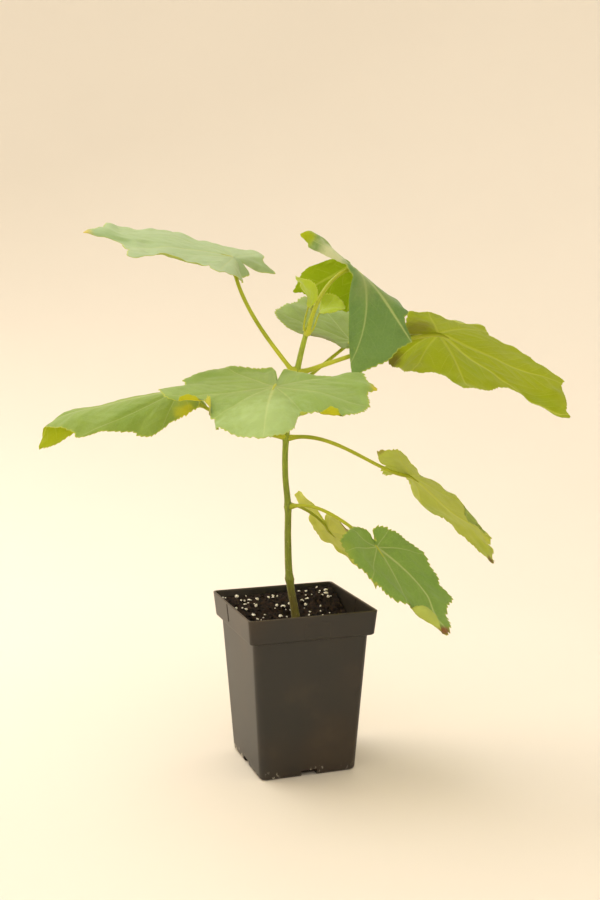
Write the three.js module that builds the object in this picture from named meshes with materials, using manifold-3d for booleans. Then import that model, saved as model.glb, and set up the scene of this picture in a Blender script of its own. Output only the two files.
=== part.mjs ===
// A young paulownia in a square nursery pot. Millimetres, +Z up. The origin is the middle of the pot's flat
// underside, and the pot's sides lie along X and Y.

import * as THREE from 'three';
import { mergeVertices } from 'three/addons/utils/BufferGeometryUtils.js';
import Module from 'manifold-3d';

const wasm = await Module();
wasm.setup();

// Room left between two pieces that touch, and the distance within which two points are one.
const gap = 0.3;
const weld = 1e-5;

// Pot: a thin tapered square wall under a deeper, wider rim band.
const pot = {
  height: 128, baseWidth: 76.8, shoulderWidth: 91.4, wall: 1.6, floor: 2.4, corner: 5.2,
  rimHeight: 19.4, rimBottomWidth: 98.2, rimTopWidth: 102, rimCorner: 3.2, rimRound: 1, lip: 0.5,
  footRound: 2.4, cornerSteps: 5,
};
// A drain notch stands in the middle of each bottom edge, and a short groove runs down two sides of the
// rim.
const notch = { width: 13, height: 4.6, depth: 8 };
const groove = { width: 2.6, low: 113, high: 126.6, depth: 0.8, offset: 9 };

// Soil: low in front of the stem and heaped against the back wall, most in its right corner.
const soil = {
  front: 112.5, rise: 10, riseFrom: -2, riseLength: 44, heap: 3, heapX: 40, heapY: 42, heapSpread: 14,
  level: 113, levelRadius: 9, rings: 6,
};

// Stem: its axis and radius by height. It leans and sways a little, and swells at each pair of leaves.
const stem = {
  sides: 12, steps: 44, swell: 0.22, swellLength: 3.2,
  joints: [145, 202, 255, 294, 306, 339],
  axis: [
    { z: 113.3, x: 2.2, radius: 3.7 }, { z: 119, x: 1.4, radius: 3.2 }, { z: 145, x: -2.5, radius: 3 },
    { z: 178, x: -3.7, radius: 2.7 }, { z: 202, x: -3.6, radius: 2.6 }, { z: 226, x: -5.5, radius: 2.3 },
    { z: 255, x: -4.9, radius: 2.3 }, { z: 280, x: -1.3, radius: 2.3 }, { z: 306, x: 3, radius: 2.3 },
    { z: 326, x: 7.3, radius: 2.1 }, { z: 341, x: 11.2, radius: 1.8 }, { z: 350, x: 13.6, radius: 1.4 },
  ],
  forward: 0.35,
};
const bud = { height: 10, radius: 1.6, belly: 0.35, sides: 10, steps: 7 };

// Leaf and petiole meshes.
const bladeRings = 5;
const bladeStep = 11;
const ribSteps = 16;
const foldLength = 8;
const thicknessShare = 0.0125;
const petioleSides = 8;
const petioleSteps = 14;

// Leaves, from the lowest to the youngest. Angles are in degrees. A heading is turned from +X towards +Y,
// pitch tips the point down and roll tips the left side down. Slopes and bends belong to the left base,
// left side, tip, right side and right base: the slope starts at the petiole and the bend is added evenly
// on the way to the margin, down when positive. An outline pairs a direction, left when positive, with the
// reach to the margin. A curl rolls what lies past a line, at the given distance towards the given
// direction, over the upper side, or under it if negative. A petiole leaves the stem at a height and
// arrives along its own heading and rise.
const leaves = {
  low_back: {
    petiole: {
      from: 203, heading: 29, rise: -11, pull: 13,
      endHeading: 9, endRise: -60, endPull: 13, radii: [1.4, 1.1],
    },
    at: [38, 21, 177], heading: 4, pitch: 50, roll: 0,
    slope: [7, 3, -10, -10, -14], bend: [0, 9, 10, 4, -23],
    outline: [
      [0, 67], [8, 54], [20, 46], [32, 42], [41, 34], [52, 27], [88, 23], [131, 23], [136, 32], [147, 40],
      [157, 40], [170, 34], [180, 8], [-168, 14], [-150, 18], [-103, 30], [-70, 40], [-46, 50], [-32, 56],
      [-16, 54],
    ],
    curls: [],
  },
  low_front: {
    petiole: {
      from: 202, heading: -45, rise: 20, pull: 25,
      endHeading: -47, endRise: -35, endPull: 16, radii: [1.6, 1.2],
    },
    at: [46.9, -56.4, 177.9], heading: -58, pitch: 47, roll: -1,
    slope: [-13, -8, 1, -6, -2], bend: [-31, 1, -13, -1, -9],
    outline: [
      [0, 84], [7, 79], [11, 72], [20, 67], [29, 69], [31, 64], [35, 56], [44, 52], [53, 46], [66, 43],
      [74, 39], [87, 32], [98, 27], [116, 20], [150, 17], [172, 14], [180, 3], [-174, 10], [-159, 17],
      [-141, 24], [-123, 31], [-111, 37], [-103, 37], [-85, 33], [-60, 33], [-39, 38], [-23, 48], [-16, 52],
      [-12, 53], [-10, 59], [-4, 74], [-3, 80],
    ],
    curls: [{ at: 24, toward: -72, radius: 5, turn: -100 }],
  },
  middle_right: {
    petiole: {
      from: 255, heading: -2, rise: 8, pull: 37,
      endHeading: -2, endRise: -6, endPull: 27, radii: [1.8, 1.3],
    },
    at: [96.6, -3.8, 222.2], heading: -11, pitch: 35, roll: 14,
    slope: [21, 13, 3, -11, -4], bend: [21, -10, 16, 25, 5],
    outline: [
      [0, 100], [5, 95], [11, 74], [22, 62], [28, 55], [37, 48], [52, 40], [65, 27], [96, 16], [120, 20],
      [152, 22], [167, 24], [180, 6], [-172, 26], [-166, 31], [-154, 42], [-139, 40], [-125, 44],
      [-119, 35], [-106, 31], [-92, 29], [-79, 35], [-68, 41], [-59, 45], [-40, 48], [-31, 67], [-29, 74],
      [-25, 79], [-13, 83], [-6, 92],
    ],
    curls: [],
  },
  middle_left: {
    petiole: {
      from: 256, heading: 167, rise: 8, pull: 30,
      endHeading: 158, endRise: 32, endPull: 18, radii: [1.8, 1.3],
    },
    at: [-82.9, 18.1, 291.5], heading: 159, pitch: -8, roll: 9,
    slope: [21, 31, 17, 30, 20], bend: [24, 32, 10, 20, 20],
    outline: [
      [0, 126], [4, 108], [14, 92], [19, 86], [24, 86], [27, 77], [29, 69], [36, 59], [47, 49], [50, 51],
      [64, 46], [70, 40], [82, 30], [109, 24], [140, 20], [168, 16], [180, 5], [-168, 24], [-144, 34],
      [-112, 36], [-102, 37], [-85, 47], [-62, 56], [-42, 60], [-26, 76], [-14, 102], [-7, 119], [-4, 124],
    ],
    curls: [{ at: 70, toward: -42, radius: 8, turn: -62 }],
  },
  front: {
    petiole: {
      from: 294, heading: -121, rise: 15, pull: 22,
      endHeading: -116, endRise: -11, endPull: 17, radii: [2, 1.4],
    },
    at: [-33.3, -57.3, 299.7], heading: -116, pitch: 11, roll: -2,
    slope: [-2, -6, -4, -4, -5], bend: [-1, 36, 32, 8, -6],
    outline: [
      [0, 73], [5, 72], [14, 68], [20, 63], [25, 53], [27, 48], [39, 47], [48, 49], [58, 62], [65, 66],
      [85, 70], [98, 67], [101, 68], [104, 76], [111, 69], [119, 69], [124, 46], [133, 39], [149, 32], [175, 33], [180, 12],
      [-176, 27], [-170, 40], [-149, 39], [-135, 46], [-125, 58], [-110, 63], [-101, 70], [-94, 64],
      [-91, 76], [-88, 83], [-73, 77], [-66, 64], [-60, 53], [-45, 60], [-33, 62], [-28, 69], [-14, 73],
    ],
    curls: [],
  },
  back: {
    petiole: {
      from: 295, heading: 27, rise: 27, pull: 24,
      endHeading: 50, endRise: 8, endPull: 16, radii: [1.7, 1.3],
    },
    at: [58.9, 27.3, 327.2], heading: 65, pitch: -23, roll: -11,
    slope: [-10, -10, -11, -16, 0], bend: [-10, 5, 30, 4, 10],
    outline: [
      [0, 84], [14, 66], [26, 74], [31, 80], [35, 80], [44, 73], [60, 67], [81, 66], [109, 53], [114, 46],
      [121, 37], [142, 28], [163, 26], [169, 17], [180, 6], [-166, 24], [-146, 30], [-122, 34], [-98, 40],
      [-80, 48], [-60, 46], [-42, 54], [-26, 62], [-14, 64],
    ],
    curls: [],
  },
  upper_right: {
    petiole: {
      from: 305, heading: -12, rise: 18, pull: 38,
      endHeading: -11, endRise: 0, endPull: 25, radii: [2.1, 1.5],
    },
    at: [112.2, -19.8, 334.2], heading: -13, pitch: 12, roll: 27,
    slope: [16, 1, 25, 8, 0], bend: [39, 13, 1, 23, 6],
    outline: [
      [0, 121], [2, 114], [3, 99], [6, 83], [13, 71], [21, 67], [36, 70], [44, 69], [57, 74], [60, 65],
      [66, 59], [73, 55], [88, 57], [98, 53], [123, 43], [146, 46], [160, 43], [172, 30], [180, 6],
      [-172, 33], [-164, 35], [-156, 33], [-144, 39], [-135, 45], [-124, 44], [-110, 47], [-99, 52],
      [-90, 72], [-80, 75], [-62, 57], [-55, 61], [-46, 76], [-36, 83], [-32, 93], [-28, 107], [-25, 104],
      [-17, 106], [-12, 110], [-4, 114],
    ],
    curls: [],
  },
  upper_left: {
    petiole: {
      from: 307, heading: 175, rise: 52, pull: 35,
      endHeading: 150, endRise: 85, endPull: 30, radii: [1.9, 1.4],
    },
    at: [-42.4, 14.7, 392], heading: 168, pitch: -16, roll: 19,
    slope: [14, -4, 3, 3, -5], bend: [50, -6, 9, 18, 11],
    outline: [
      [0, 114], [1, 107], [3, 90], [10, 83], [31, 87], [43, 102], [44, 92], [47, 79], [53, 76], [67, 67],
      [71, 54], [75, 64], [81, 67], [89, 55], [97, 41], [110, 31], [133, 19], [166, 19], [180, 5],
      [-169, 26], [-165, 30], [-161, 39], [-151, 28], [-145, 28], [-115, 48], [-88, 69], [-81, 65],
      [-66, 73], [-59, 82], [-31, 89], [-26, 99], [-24, 107], [-11, 104], [-4, 106],
    ],
    curls: [],
  },
  crown: {
    petiole: {
      from: 335, heading: -85, rise: 73, pull: 26,
      endHeading: 0, endRise: 0, endPull: 16, radii: [1.8, 1.4],
    },
    at: [49.7, -1.6, 384.0], heading: -27, pitch: 40, roll: 0,
    slope: [0, 0, 0, 0, 0], bend: [0, 0, 0, 0, 0],
    outline: [
      [0, 57], [8, 46], [30, 28], [50, 36], [63, 43], [86, 48], [100, 53], [112, 58], [115, 66], [118, 61],
      [123, 56], [127, 52], [131, 46], [134, 36], [142, 19], [150, 7], [165, 6], [174, 8], [179, 38],
      [-178, 41], [-163, 50], [-159, 42], [-154, 40], [-152, 31], [-142, 18], [-125, 10], [-73, 12],
      [-61, 40], [-56, 68], [-53, 89], [-48, 84], [-40, 80], [-34, 79], [-26, 73], [-16, 73], [-14, 60],
      [-11, 54], [-5, 54],
    ],
    curls: [{ at: 3, toward: -90, radius: 7, turn: -80 }, { at: 5, toward: 90, radius: 9, turn: -75 }],
  },
  young_left: {
    petiole: {
      from: 337, heading: -148, rise: 68, pull: 7,
      endHeading: 100, endRise: 80, endPull: 6, radii: [0.9, 0.6],
    },
    at: [7.9, -16.3, 360.2], heading: 145, pitch: -75, roll: 3,
    slope: [25, 13, 10, 1, 25], bend: [0, -32, 18, -38, 0],
    outline: [
      [0, 21], [20, 14], [40, 15], [63, 10], [110, 8], [150, 7], [180, 2], [-150, 7], [-110, 9], [-74, 12],
      [-51, 18], [-23, 18],
    ],
    curls: [],
  },
  young_right: {
    petiole: {
      from: 335, heading: -12, rise: 40, pull: 7,
      endHeading: -28, endRise: 16, endPull: 6, radii: [0.9, 0.6],
    },
    at: [24.1, -0.4, 352.2], heading: -29, pitch: -21, roll: -14,
    slope: [25, -40, 4, 30, 25], bend: [0, -28, 32, 22, 0],
    outline: [
      [0, 17], [35, 17], [49, 17], [71, 15], [110, 8], [150, 4], [180, 2], [-150, 3], [-110, 5], [-61, 7],
      [-17, 12],
    ],
    curls: [],
  },
};

// Finishes.
const finish = {
  pot: { color: 0x34322e, roughness: 0.5, metalness: 0 },
  soil: { color: 0x2a1a10, roughness: 1, metalness: 0 },
  stem: { color: 0x7d9a2e, roughness: 0.6, metalness: 0 },
  petiole: { color: 0xa9b83a, roughness: 0.6, metalness: 0 },
  leaf: { color: 0x6f9c4a, roughness: 0.8, metalness: 0 },
  young: { color: 0xb4cf2c, roughness: 0.8, metalness: 0 },
};

const radians = THREE.MathUtils.degToRad;

function material(name) {
  return new THREE.MeshStandardMaterial({ name, ...finish[name] });
}

// A closed body from vertices and faces, with no seam left between equal points.
function closedGeometry(vertices, faces) {
  const geometry = new THREE.BufferGeometry();
  const numbers = vertices.flatMap((v) => [v.x, v.y, v.z]);
  geometry.setAttribute('position', new THREE.Float32BufferAttribute(numbers, 3));
  geometry.setIndex(faces.flat());
  const merged = mergeVertices(geometry, weld);
  merged.computeVertexNormals();
  return merged;
}

// Rings of equal count joined in order. The first and the last ring are closed by a fan to their middle.
// Seen from the last ring, the points of a ring run anticlockwise.
function loft(rings) {
  const count = rings[0].length;
  const vertices = rings.flat();
  const faces = [];
  for (let ring = 0; ring < rings.length - 1; ring += 1) {
    for (let i = 0; i < count; i += 1) {
      const a = ring * count + i;
      const b = ring * count + (i + 1) % count;
      faces.push([a, b, b + count], [a, b + count, a + count]);
    }
  }
  const middle = (ring) => ring.reduce((sum, p) => sum.add(p), new THREE.Vector3()).divideScalar(count);
  const first = vertices.push(middle(rings[0])) - 1;
  const last = vertices.push(middle(rings[rings.length - 1])) - 1;
  const start = (rings.length - 1) * count;
  for (let i = 0; i < count; i += 1) {
    const next = (i + 1) % count;
    faces.push([first, next, i], [last, start + i, start + next]);
  }
  return closedGeometry(vertices, faces);
}

// A square ring with round corners at height z.
function squareRing(width, corner, z) {
  const points = [];
  for (let quarter = 0; quarter < 4; quarter += 1) {
    for (let i = 0; i < pot.cornerSteps; i += 1) {
      const turn = (quarter + i / (pot.cornerSteps - 1)) * Math.PI / 2;
      const middle = (quarter + 0.5) * Math.PI / 2;
      const reach = (width / 2 - corner) * Math.SQRT2;
      points.push(new THREE.Vector3(
        reach * Math.cos(middle) + corner * Math.cos(turn),
        reach * Math.sin(middle) + corner * Math.sin(turn),
        z,
      ));
    }
  }
  return points;
}

const shoulder = pot.height - pot.rimHeight;
const bodyWidth = (z) => pot.baseWidth + (pot.shoulderWidth - pot.baseWidth) * z / shoulder;
const rimSpread = pot.rimTopWidth - pot.rimBottomWidth;
const rimWidth = (z) => pot.rimBottomWidth + rimSpread * (z - shoulder) / pot.rimHeight;
const innerStep = shoulder + pot.wall;
const inside = pot.corner - pot.wall;
const innerWidth = (z) => (z <= shoulder ? bodyWidth(z) : rimWidth(Math.max(z, innerStep))) - 2 * pot.wall;

// A solid as a manifold, for joins and cuts.
function solid(geometry) {
  const plain = geometry.clone();
  plain.deleteAttribute('normal');
  plain.deleteAttribute('uv');
  const merged = mergeVertices(plain, weld);
  return new wasm.Manifold(new wasm.Mesh({
    numProp: 3,
    vertProperties: new Float32Array(merged.attributes.position.array),
    triVerts: new Uint32Array(merged.index.array),
  }));
}

function fromSolid(body) {
  const mesh = body.getMesh();
  const geometry = new THREE.BufferGeometry();
  geometry.setAttribute('position', new THREE.BufferAttribute(mesh.vertProperties, 3));
  geometry.setIndex(new THREE.BufferAttribute(mesh.triVerts, 1));
  geometry.computeVertexNormals();
  return geometry;
}

function block(width, depth, height, x, y, z) {
  return solid(new THREE.BoxGeometry(width, depth, height).translate(x, y, z));
}

function potGeometry() {
  const rimInside = pot.rimCorner - pot.wall;
  const footStep = pot.footRound / 3;
  const rings = [
    squareRing(pot.baseWidth - 2 * pot.footRound, pot.corner, 0),
    squareRing(bodyWidth(footStep) - 2 * footStep, pot.corner, footStep),
    squareRing(bodyWidth(pot.footRound), pot.corner, pot.footRound),
    squareRing(pot.shoulderWidth, pot.corner, shoulder),
    squareRing(pot.rimBottomWidth - pot.rimRound, pot.rimCorner, shoulder),
    squareRing(rimWidth(shoulder + pot.rimRound), pot.rimCorner, shoulder + pot.rimRound),
    squareRing(rimWidth(pot.height - pot.lip), pot.rimCorner, pot.height - pot.lip),
    squareRing(pot.rimTopWidth - pot.lip, pot.rimCorner, pot.height),
    squareRing(innerWidth(pot.height), rimInside, pot.height),
    squareRing(innerWidth(innerStep), rimInside, innerStep),
    squareRing(innerWidth(shoulder), inside, shoulder),
    squareRing(innerWidth(pot.floor), inside, pot.floor),
  ];
  let body = solid(loft(rings));
  const reach = pot.baseWidth / 2;
  for (const sign of [-1, 1]) {
    body = body.subtract(block(notch.width, 2 * notch.depth, 2 * notch.height, 0, sign * reach, 0));
    body = body.subtract(block(2 * notch.depth, notch.width, 2 * notch.height, sign * reach, 0, 0));
  }
  const grooveMiddle = (groove.low + groove.high) / 2;
  const outer = rimWidth(grooveMiddle) / 2;
  for (const sign of [-1, 1]) {
    body = body.subtract(block(
      2 * groove.depth, groove.width, groove.high - groove.low,
      sign * outer, -sign * groove.offset, grooveMiddle,
    ));
  }
  return fromSolid(body);
}

// Height of the soil: a smooth rise from front to back, a heap in one corner and a level patch round the
// stem.
function soilHeight(x, y) {
  const rise = THREE.MathUtils.smoothstep(y, soil.riseFrom, soil.riseFrom + soil.riseLength);
  const far = ((x - soil.heapX) ** 2 + (y - soil.heapY) ** 2) / (2 * soil.heapSpread ** 2);
  const height = soil.front + soil.rise * rise + soil.heap * Math.exp(-far);
  const away = Math.hypot(x - stem.axis[0].x, y);
  const patch = THREE.MathUtils.smoothstep(away, soil.levelRadius, 2 * soil.levelRadius);
  return THREE.MathUtils.lerp(soil.level, height, patch);
}

function soilGeometry() {
  const room = (z) => innerWidth(z) - 2 * gap;
  const low = pot.floor + gap;
  const rings = [
    squareRing(room(low), inside, low),
    squareRing(room(shoulder), inside, shoulder + gap / 2),
    squareRing(room(innerStep), inside, innerStep + gap),
  ];
  const edge = room(innerStep);
  for (let i = 0; i < soil.rings; i += 1) {
    const share = 1 - i / soil.rings;
    const ring = squareRing(edge * share, inside * share, 0);
    for (const p of ring) {
      p.z = soilHeight(p.x, p.y);
    }
    rings.push(ring);
  }
  return loft(rings);
}

// A round bar along a curve. Its radius is a function of the share of the length.
function bar(curve, radiusAt, sides, steps) {
  const frames = curve.computeFrenetFrames(steps, false);
  const rings = [];
  for (let i = 0; i <= steps; i += 1) {
    const share = i / steps;
    const middle = curve.getPointAt(share);
    const radius = radiusAt(share);
    const ring = [];
    for (let side = 0; side < sides; side += 1) {
      const turn = side / sides * 2 * Math.PI;
      ring.push(middle.clone()
        .addScaledVector(frames.normals[i], radius * Math.cos(turn))
        .addScaledVector(frames.binormals[i], radius * Math.sin(turn)));
    }
    rings.push(ring);
  }
  return loft(rings);
}

// The stem's axis point and radius at a height, without the swelling.
function stemAt(z) {
  const { axis } = stem;
  let i = 0;
  while (i < axis.length - 2 && axis[i + 1].z < z) {
    i += 1;
  }
  const share = (z - axis[i].z) / (axis[i + 1].z - axis[i].z);
  const x = THREE.MathUtils.lerp(axis[i].x, axis[i + 1].x, share);
  const radius = THREE.MathUtils.lerp(axis[i].radius, axis[i + 1].radius, share);
  return { point: new THREE.Vector3(x, -stem.forward * x, z), radius };
}

function stemRadius(z) {
  const swellAt = (joint) => Math.exp(-(((z - joint) / stem.swellLength) ** 2));
  const swelling = stem.joints.reduce((sum, joint) => sum + swellAt(joint), 0);
  return stemAt(z).radius * (1 + stem.swell * Math.min(swelling, 1));
}

// Level rings stacked along the axis, so that both ends are cut flat.
function stemGeometry() {
  const { axis } = stem;
  const foot = axis[0].z;
  const top = axis[axis.length - 1].z;
  const middles = axis.map(({ z, x }) => new THREE.Vector3(x, -stem.forward * x, z));
  const smooth = new THREE.CatmullRomCurve3(middles);
  const rings = [];
  for (let i = 0; i <= stem.steps; i += 1) {
    const middle = smooth.getPointAt(i / stem.steps);
    const z = THREE.MathUtils.clamp(middle.z, foot, top);
    const radius = stemRadius(z);
    const ring = [];
    for (let side = 0; side < stem.sides; side += 1) {
      const turn = side / stem.sides * 2 * Math.PI;
      ring.push(new THREE.Vector3(middle.x + radius * Math.cos(turn), middle.y + radius * Math.sin(turn), z));
    }
    rings.push(ring);
  }
  return loft(rings);
}

// The bud: a slim pointed egg that stands on the stem's flat top, widest at the belly.
function budGeometry() {
  const top = stem.axis[stem.axis.length - 1];
  const profile = [new THREE.Vector2(0, 0)];
  for (let i = 0; i < bud.steps; i += 1) {
    const share = i / bud.steps;
    const half = share < bud.belly ? 1 - bud.belly + share : 1 - (share - bud.belly) / (1 - bud.belly);
    profile.push(new THREE.Vector2(bud.radius * Math.sin(half * Math.PI / 2), bud.height * share));
  }
  profile.push(new THREE.Vector2(0, bud.height));
  const geometry = new THREE.LatheGeometry(profile, bud.sides);
  geometry.rotateX(Math.PI / 2);
  geometry.translate(top.x, -stem.forward * top.x, top.z + gap);
  return fromSolid(solid(geometry));
}

// A direction from its heading and its rise above the level.
function direction(heading, rise) {
  const h = radians(heading);
  const r = radians(rise);
  return new THREE.Vector3(Math.cos(h) * Math.cos(r), Math.sin(h) * Math.cos(r), Math.sin(r));
}

// The blade's own axes: towards the tip, to the left and up out of the upper side.
function bladeAxes({ heading, pitch, roll }) {
  const tip = direction(heading, -pitch);
  const level = direction(heading + 90, 0);
  const up = new THREE.Vector3().crossVectors(tip, level);
  const r = radians(roll);
  return {
    tip,
    left: level.clone().multiplyScalar(Math.cos(r)).addScaledVector(up, -Math.sin(r)),
    up: up.clone().multiplyScalar(Math.cos(r)).addScaledVector(level, Math.sin(r)),
  };
}

// A value eased round the blade between the left base, left side, tip, right side and right base.
function around([leftBase, leftSide, tip, rightSide, rightBase], angle) {
  const stops = [-180, -140, -80, 0, 80, 140, 180];
  const back = (leftBase + rightBase) / 2;
  const values = [back, rightBase, rightSide, tip, leftSide, leftBase, back];
  let i = 0;
  while (i < stops.length - 2 && stops[i + 1] <= angle) {
    i += 1;
  }
  const share = THREE.MathUtils.smoothstep(angle, stops[i], stops[i + 1]);
  return THREE.MathUtils.lerp(values[i], values[i + 1], share);
}

// The reach to the margin, straight between the outline's points.
function reachAt(outline, angle) {
  const points = [...outline].sort((a, b) => a[0] - b[0]);
  points.unshift([-180, points[points.length - 1][1]]);
  let i = 0;
  while (i < points.length - 2 && points[i + 1][0] <= angle) {
    i += 1;
  }
  return THREE.MathUtils.mapLinear(angle, points[i][0], points[i + 1][0], points[i][1], points[i + 1][1]);
}

// Rolls a flat point, in the blade's plane, round every curl line that it lies past. Returns the point and
// its lift.
function curlPoint(flat, curls) {
  let lift = 0;
  const point = flat.clone();
  for (const { at, toward, radius, turn } of curls) {
    const normal = new THREE.Vector2(Math.cos(radians(toward)), Math.sin(radians(toward)));
    const past = point.dot(normal) - at;
    if (past > 0) {
      const side = Math.sign(turn);
      const full = Math.abs(radians(turn));
      const bent = Math.min(past / radius, full);
      const rest = Math.max(past - radius * full, 0);
      const arm = radius - side * lift;
      point.addScaledVector(normal, arm * Math.sin(bent) + rest * Math.cos(bent) - past);
      lift = side * (radius - arm * Math.cos(bent) + rest * Math.sin(bent));
    }
  }
  return { point, lift };
}

// The middle surface: a rib runs out from the petiole in the given direction, its slope starts within the
// first few millimetres and its bend grows evenly to the margin.
function bladePoint(leaf, axes, angle, radius) {
  const turn = radians(angle);
  const flat = new THREE.Vector2(Math.cos(turn), Math.sin(turn)).multiplyScalar(radius);
  const { point, lift } = curlPoint(flat, leaf.curls);
  const run = point.length();
  const heading = THREE.MathUtils.radToDeg(Math.atan2(point.y, point.x));
  const margin = reachAt(leaf.outline, heading);
  const slope = around(leaf.slope, heading);
  const bend = around(leaf.bend, heading);
  const out = new THREE.Vector3().addScaledVector(axes.tip, Math.cos(radians(heading)))
    .addScaledVector(axes.left, Math.sin(radians(heading)));
  let across = 0;
  let down = 0;
  let dip = 0;
  for (let i = 0; i < ribSteps; i += 1) {
    const along = run * (i + 0.5) / ribSteps;
    dip = radians(slope * Math.tanh(along / foldLength) + bend * along / margin);
    across += Math.cos(dip) * run / ribSteps;
    down += Math.sin(dip) * run / ribSteps;
  }
  return new THREE.Vector3(...leaf.at)
    .addScaledVector(out, across + lift * Math.sin(dip))
    .addScaledVector(axes.up, lift * Math.cos(dip) - down);
}

// The directions in which the blade is drawn: each point of the outline, and more where two lie far apart.
function bladeAngles(outline) {
  const turns = outline.map(([turn]) => turn).sort((a, b) => a - b);
  turns.unshift(-180);
  const angles = [];
  for (let i = 0; i < turns.length - 1; i += 1) {
    const width = turns[i + 1] - turns[i];
    const parts = Math.ceil(width / bladeStep);
    for (let part = 0; part < parts; part += 1) {
      angles.push(turns[i] + width * part / parts);
    }
  }
  return angles;
}

// The thickness, as a share of the length from the tip to the rearmost lobe.
function bladeThickness({ outline }) {
  const rear = Math.max(...outline.map(([turn, reach]) => -reach * Math.cos(radians(turn))));
  return thicknessShare * (outline[0][1] + rear);
}

// A closed blade: rings of the middle surface, moved up and down by half the thickness, and by what is
// extra, along their normals.
function leafGeometry(leaf, extra = 0) {
  const axes = bladeAxes(leaf);
  const angles = bladeAngles(leaf.outline);
  const count = angles.length;
  const middle = [bladePoint(leaf, axes, 0, 0)];
  for (let ring = 1; ring <= bladeRings; ring += 1) {
    for (const angle of angles) {
      middle.push(bladePoint(leaf, axes, angle, reachAt(leaf.outline, angle) * ring / bladeRings));
    }
  }
  const upper = [];
  for (let i = 0; i < count; i += 1) {
    const next = (i + 1) % count;
    upper.push([0, 1 + i, 1 + next]);
    for (let ring = 1; ring < bladeRings; ring += 1) {
      const a = 1 + (ring - 1) * count + i;
      const b = 1 + (ring - 1) * count + next;
      upper.push([a, a + count, b + count], [a, b + count, b]);
    }
  }
  const sheet = new THREE.BufferGeometry();
  const numbers = middle.flatMap((v) => [v.x, v.y, v.z]);
  sheet.setAttribute('position', new THREE.Float32BufferAttribute(numbers, 3));
  sheet.setIndex(upper.flat());
  sheet.computeVertexNormals();
  const normals = sheet.attributes.normal;
  const half = bladeThickness(leaf) / 2 + extra;
  const moved = (side) => middle.map((v, i) => v.clone()
    .addScaledVector(new THREE.Vector3().fromBufferAttribute(normals, i), side * half));
  const total = middle.length;
  const faces = [...upper, ...upper.map(([a, b, c]) => [total + a, total + c, total + b])];
  const rim = 1 + (bladeRings - 1) * count;
  for (let i = 0; i < count; i += 1) {
    const a = rim + i;
    const b = rim + (i + 1) % count;
    faces.push([a, total + a, total + b], [a, total + b, b]);
  }
  return closedGeometry([...moved(1), ...moved(-1)], faces);
}

// A petiole: a tapering bar on a curve from the stem's side to the underside of the blade.
function petioleGeometry(leaf) {
  const { from, heading, rise, pull, endHeading, endRise, endPull, radii } = leaf.petiole;
  const { point } = stemAt(from);
  const lean = radii[0] * Math.abs(Math.sin(radians(rise)));
  const start = point.clone().addScaledVector(direction(heading, 0), stemRadius(from) + gap + lean);
  const axes = bladeAxes(leaf);
  const end = new THREE.Vector3(...leaf.at)
    .addScaledVector(axes.up, -(bladeThickness(leaf) / 2 + gap + radii[1]));
  const curve = new THREE.CubicBezierCurve3(
    start,
    start.clone().addScaledVector(direction(heading, rise), pull),
    end.clone().addScaledVector(direction(endHeading, endRise), -endPull),
    end,
  );
  const taper = (share) => THREE.MathUtils.lerp(radii[0], radii[1], Math.sqrt(share));
  const body = solid(bar(curve, taper, petioleSides, petioleSteps));
  const parts = body.subtract(solid(leafGeometry(leaf, gap))).decompose();
  return fromSolid(parts.reduce((best, part) => (part.volume() > best.volume() ? part : best)));
}

function mesh(name, geometry, finishName) {
  const piece = new THREE.Mesh(geometry, material(finishName));
  piece.name = name;
  return piece;
}

const plant = new THREE.Group();
plant.add(mesh('pot', potGeometry(), 'pot'));
plant.add(mesh('soil', soilGeometry(), 'soil'));
plant.add(mesh('stem', stemGeometry(), 'stem'));
plant.add(mesh('bud', budGeometry(), 'young'));
for (const [name, leaf] of Object.entries(leaves)) {
  const tint = name.startsWith('young') ? 'young' : 'leaf';
  plant.add(mesh(`petiole_${name}`, petioleGeometry(leaf), 'petiole'));
  plant.add(mesh(`leaf_${name}`, leafGeometry(leaf), tint));
}

export default plant;
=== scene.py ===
# A young paulownia in a square nursery pot.
# Shapes are worked out in millimetres and become metres when a mesh is made.
import math

import bpy
import numpy as np
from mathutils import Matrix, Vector


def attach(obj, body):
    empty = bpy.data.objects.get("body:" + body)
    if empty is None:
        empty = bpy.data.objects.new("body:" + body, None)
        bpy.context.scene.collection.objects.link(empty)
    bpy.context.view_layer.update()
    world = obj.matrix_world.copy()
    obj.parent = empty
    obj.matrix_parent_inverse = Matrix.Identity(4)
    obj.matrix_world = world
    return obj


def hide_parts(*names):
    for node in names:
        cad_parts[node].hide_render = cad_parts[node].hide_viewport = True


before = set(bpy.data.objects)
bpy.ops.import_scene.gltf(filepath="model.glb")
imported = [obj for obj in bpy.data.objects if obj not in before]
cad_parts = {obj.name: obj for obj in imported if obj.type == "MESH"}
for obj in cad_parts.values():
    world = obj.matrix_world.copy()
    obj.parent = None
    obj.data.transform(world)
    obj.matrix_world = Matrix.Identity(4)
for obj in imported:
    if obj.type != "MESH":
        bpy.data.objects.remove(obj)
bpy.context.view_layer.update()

millimetre = 0.001


# Smooth step: 3 s squared minus 2 s cubed, for s held between 0 and 1.
def eased(share):
    share = np.clip(share, 0.0, 1.0)
    return share * share * (3.0 - 2.0 * share)


# A colour given as 0 to 255 on screen, as the linear values that a shader takes.
def screenColour(red, green, blue):
    screen = np.array([red, green, blue]) / 255.0
    linear = np.where(screen <= 0.04045, screen / 12.92, ((screen + 0.055) / 1.055) ** 2.4)
    return (*linear.tolist(), 1.0)


# A linear colour times a share, or times one share each for red, green and blue.
def weaker(colour, shares):
    return (*(np.array(colour[:3]) * shares).tolist(), 1.0)


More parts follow.
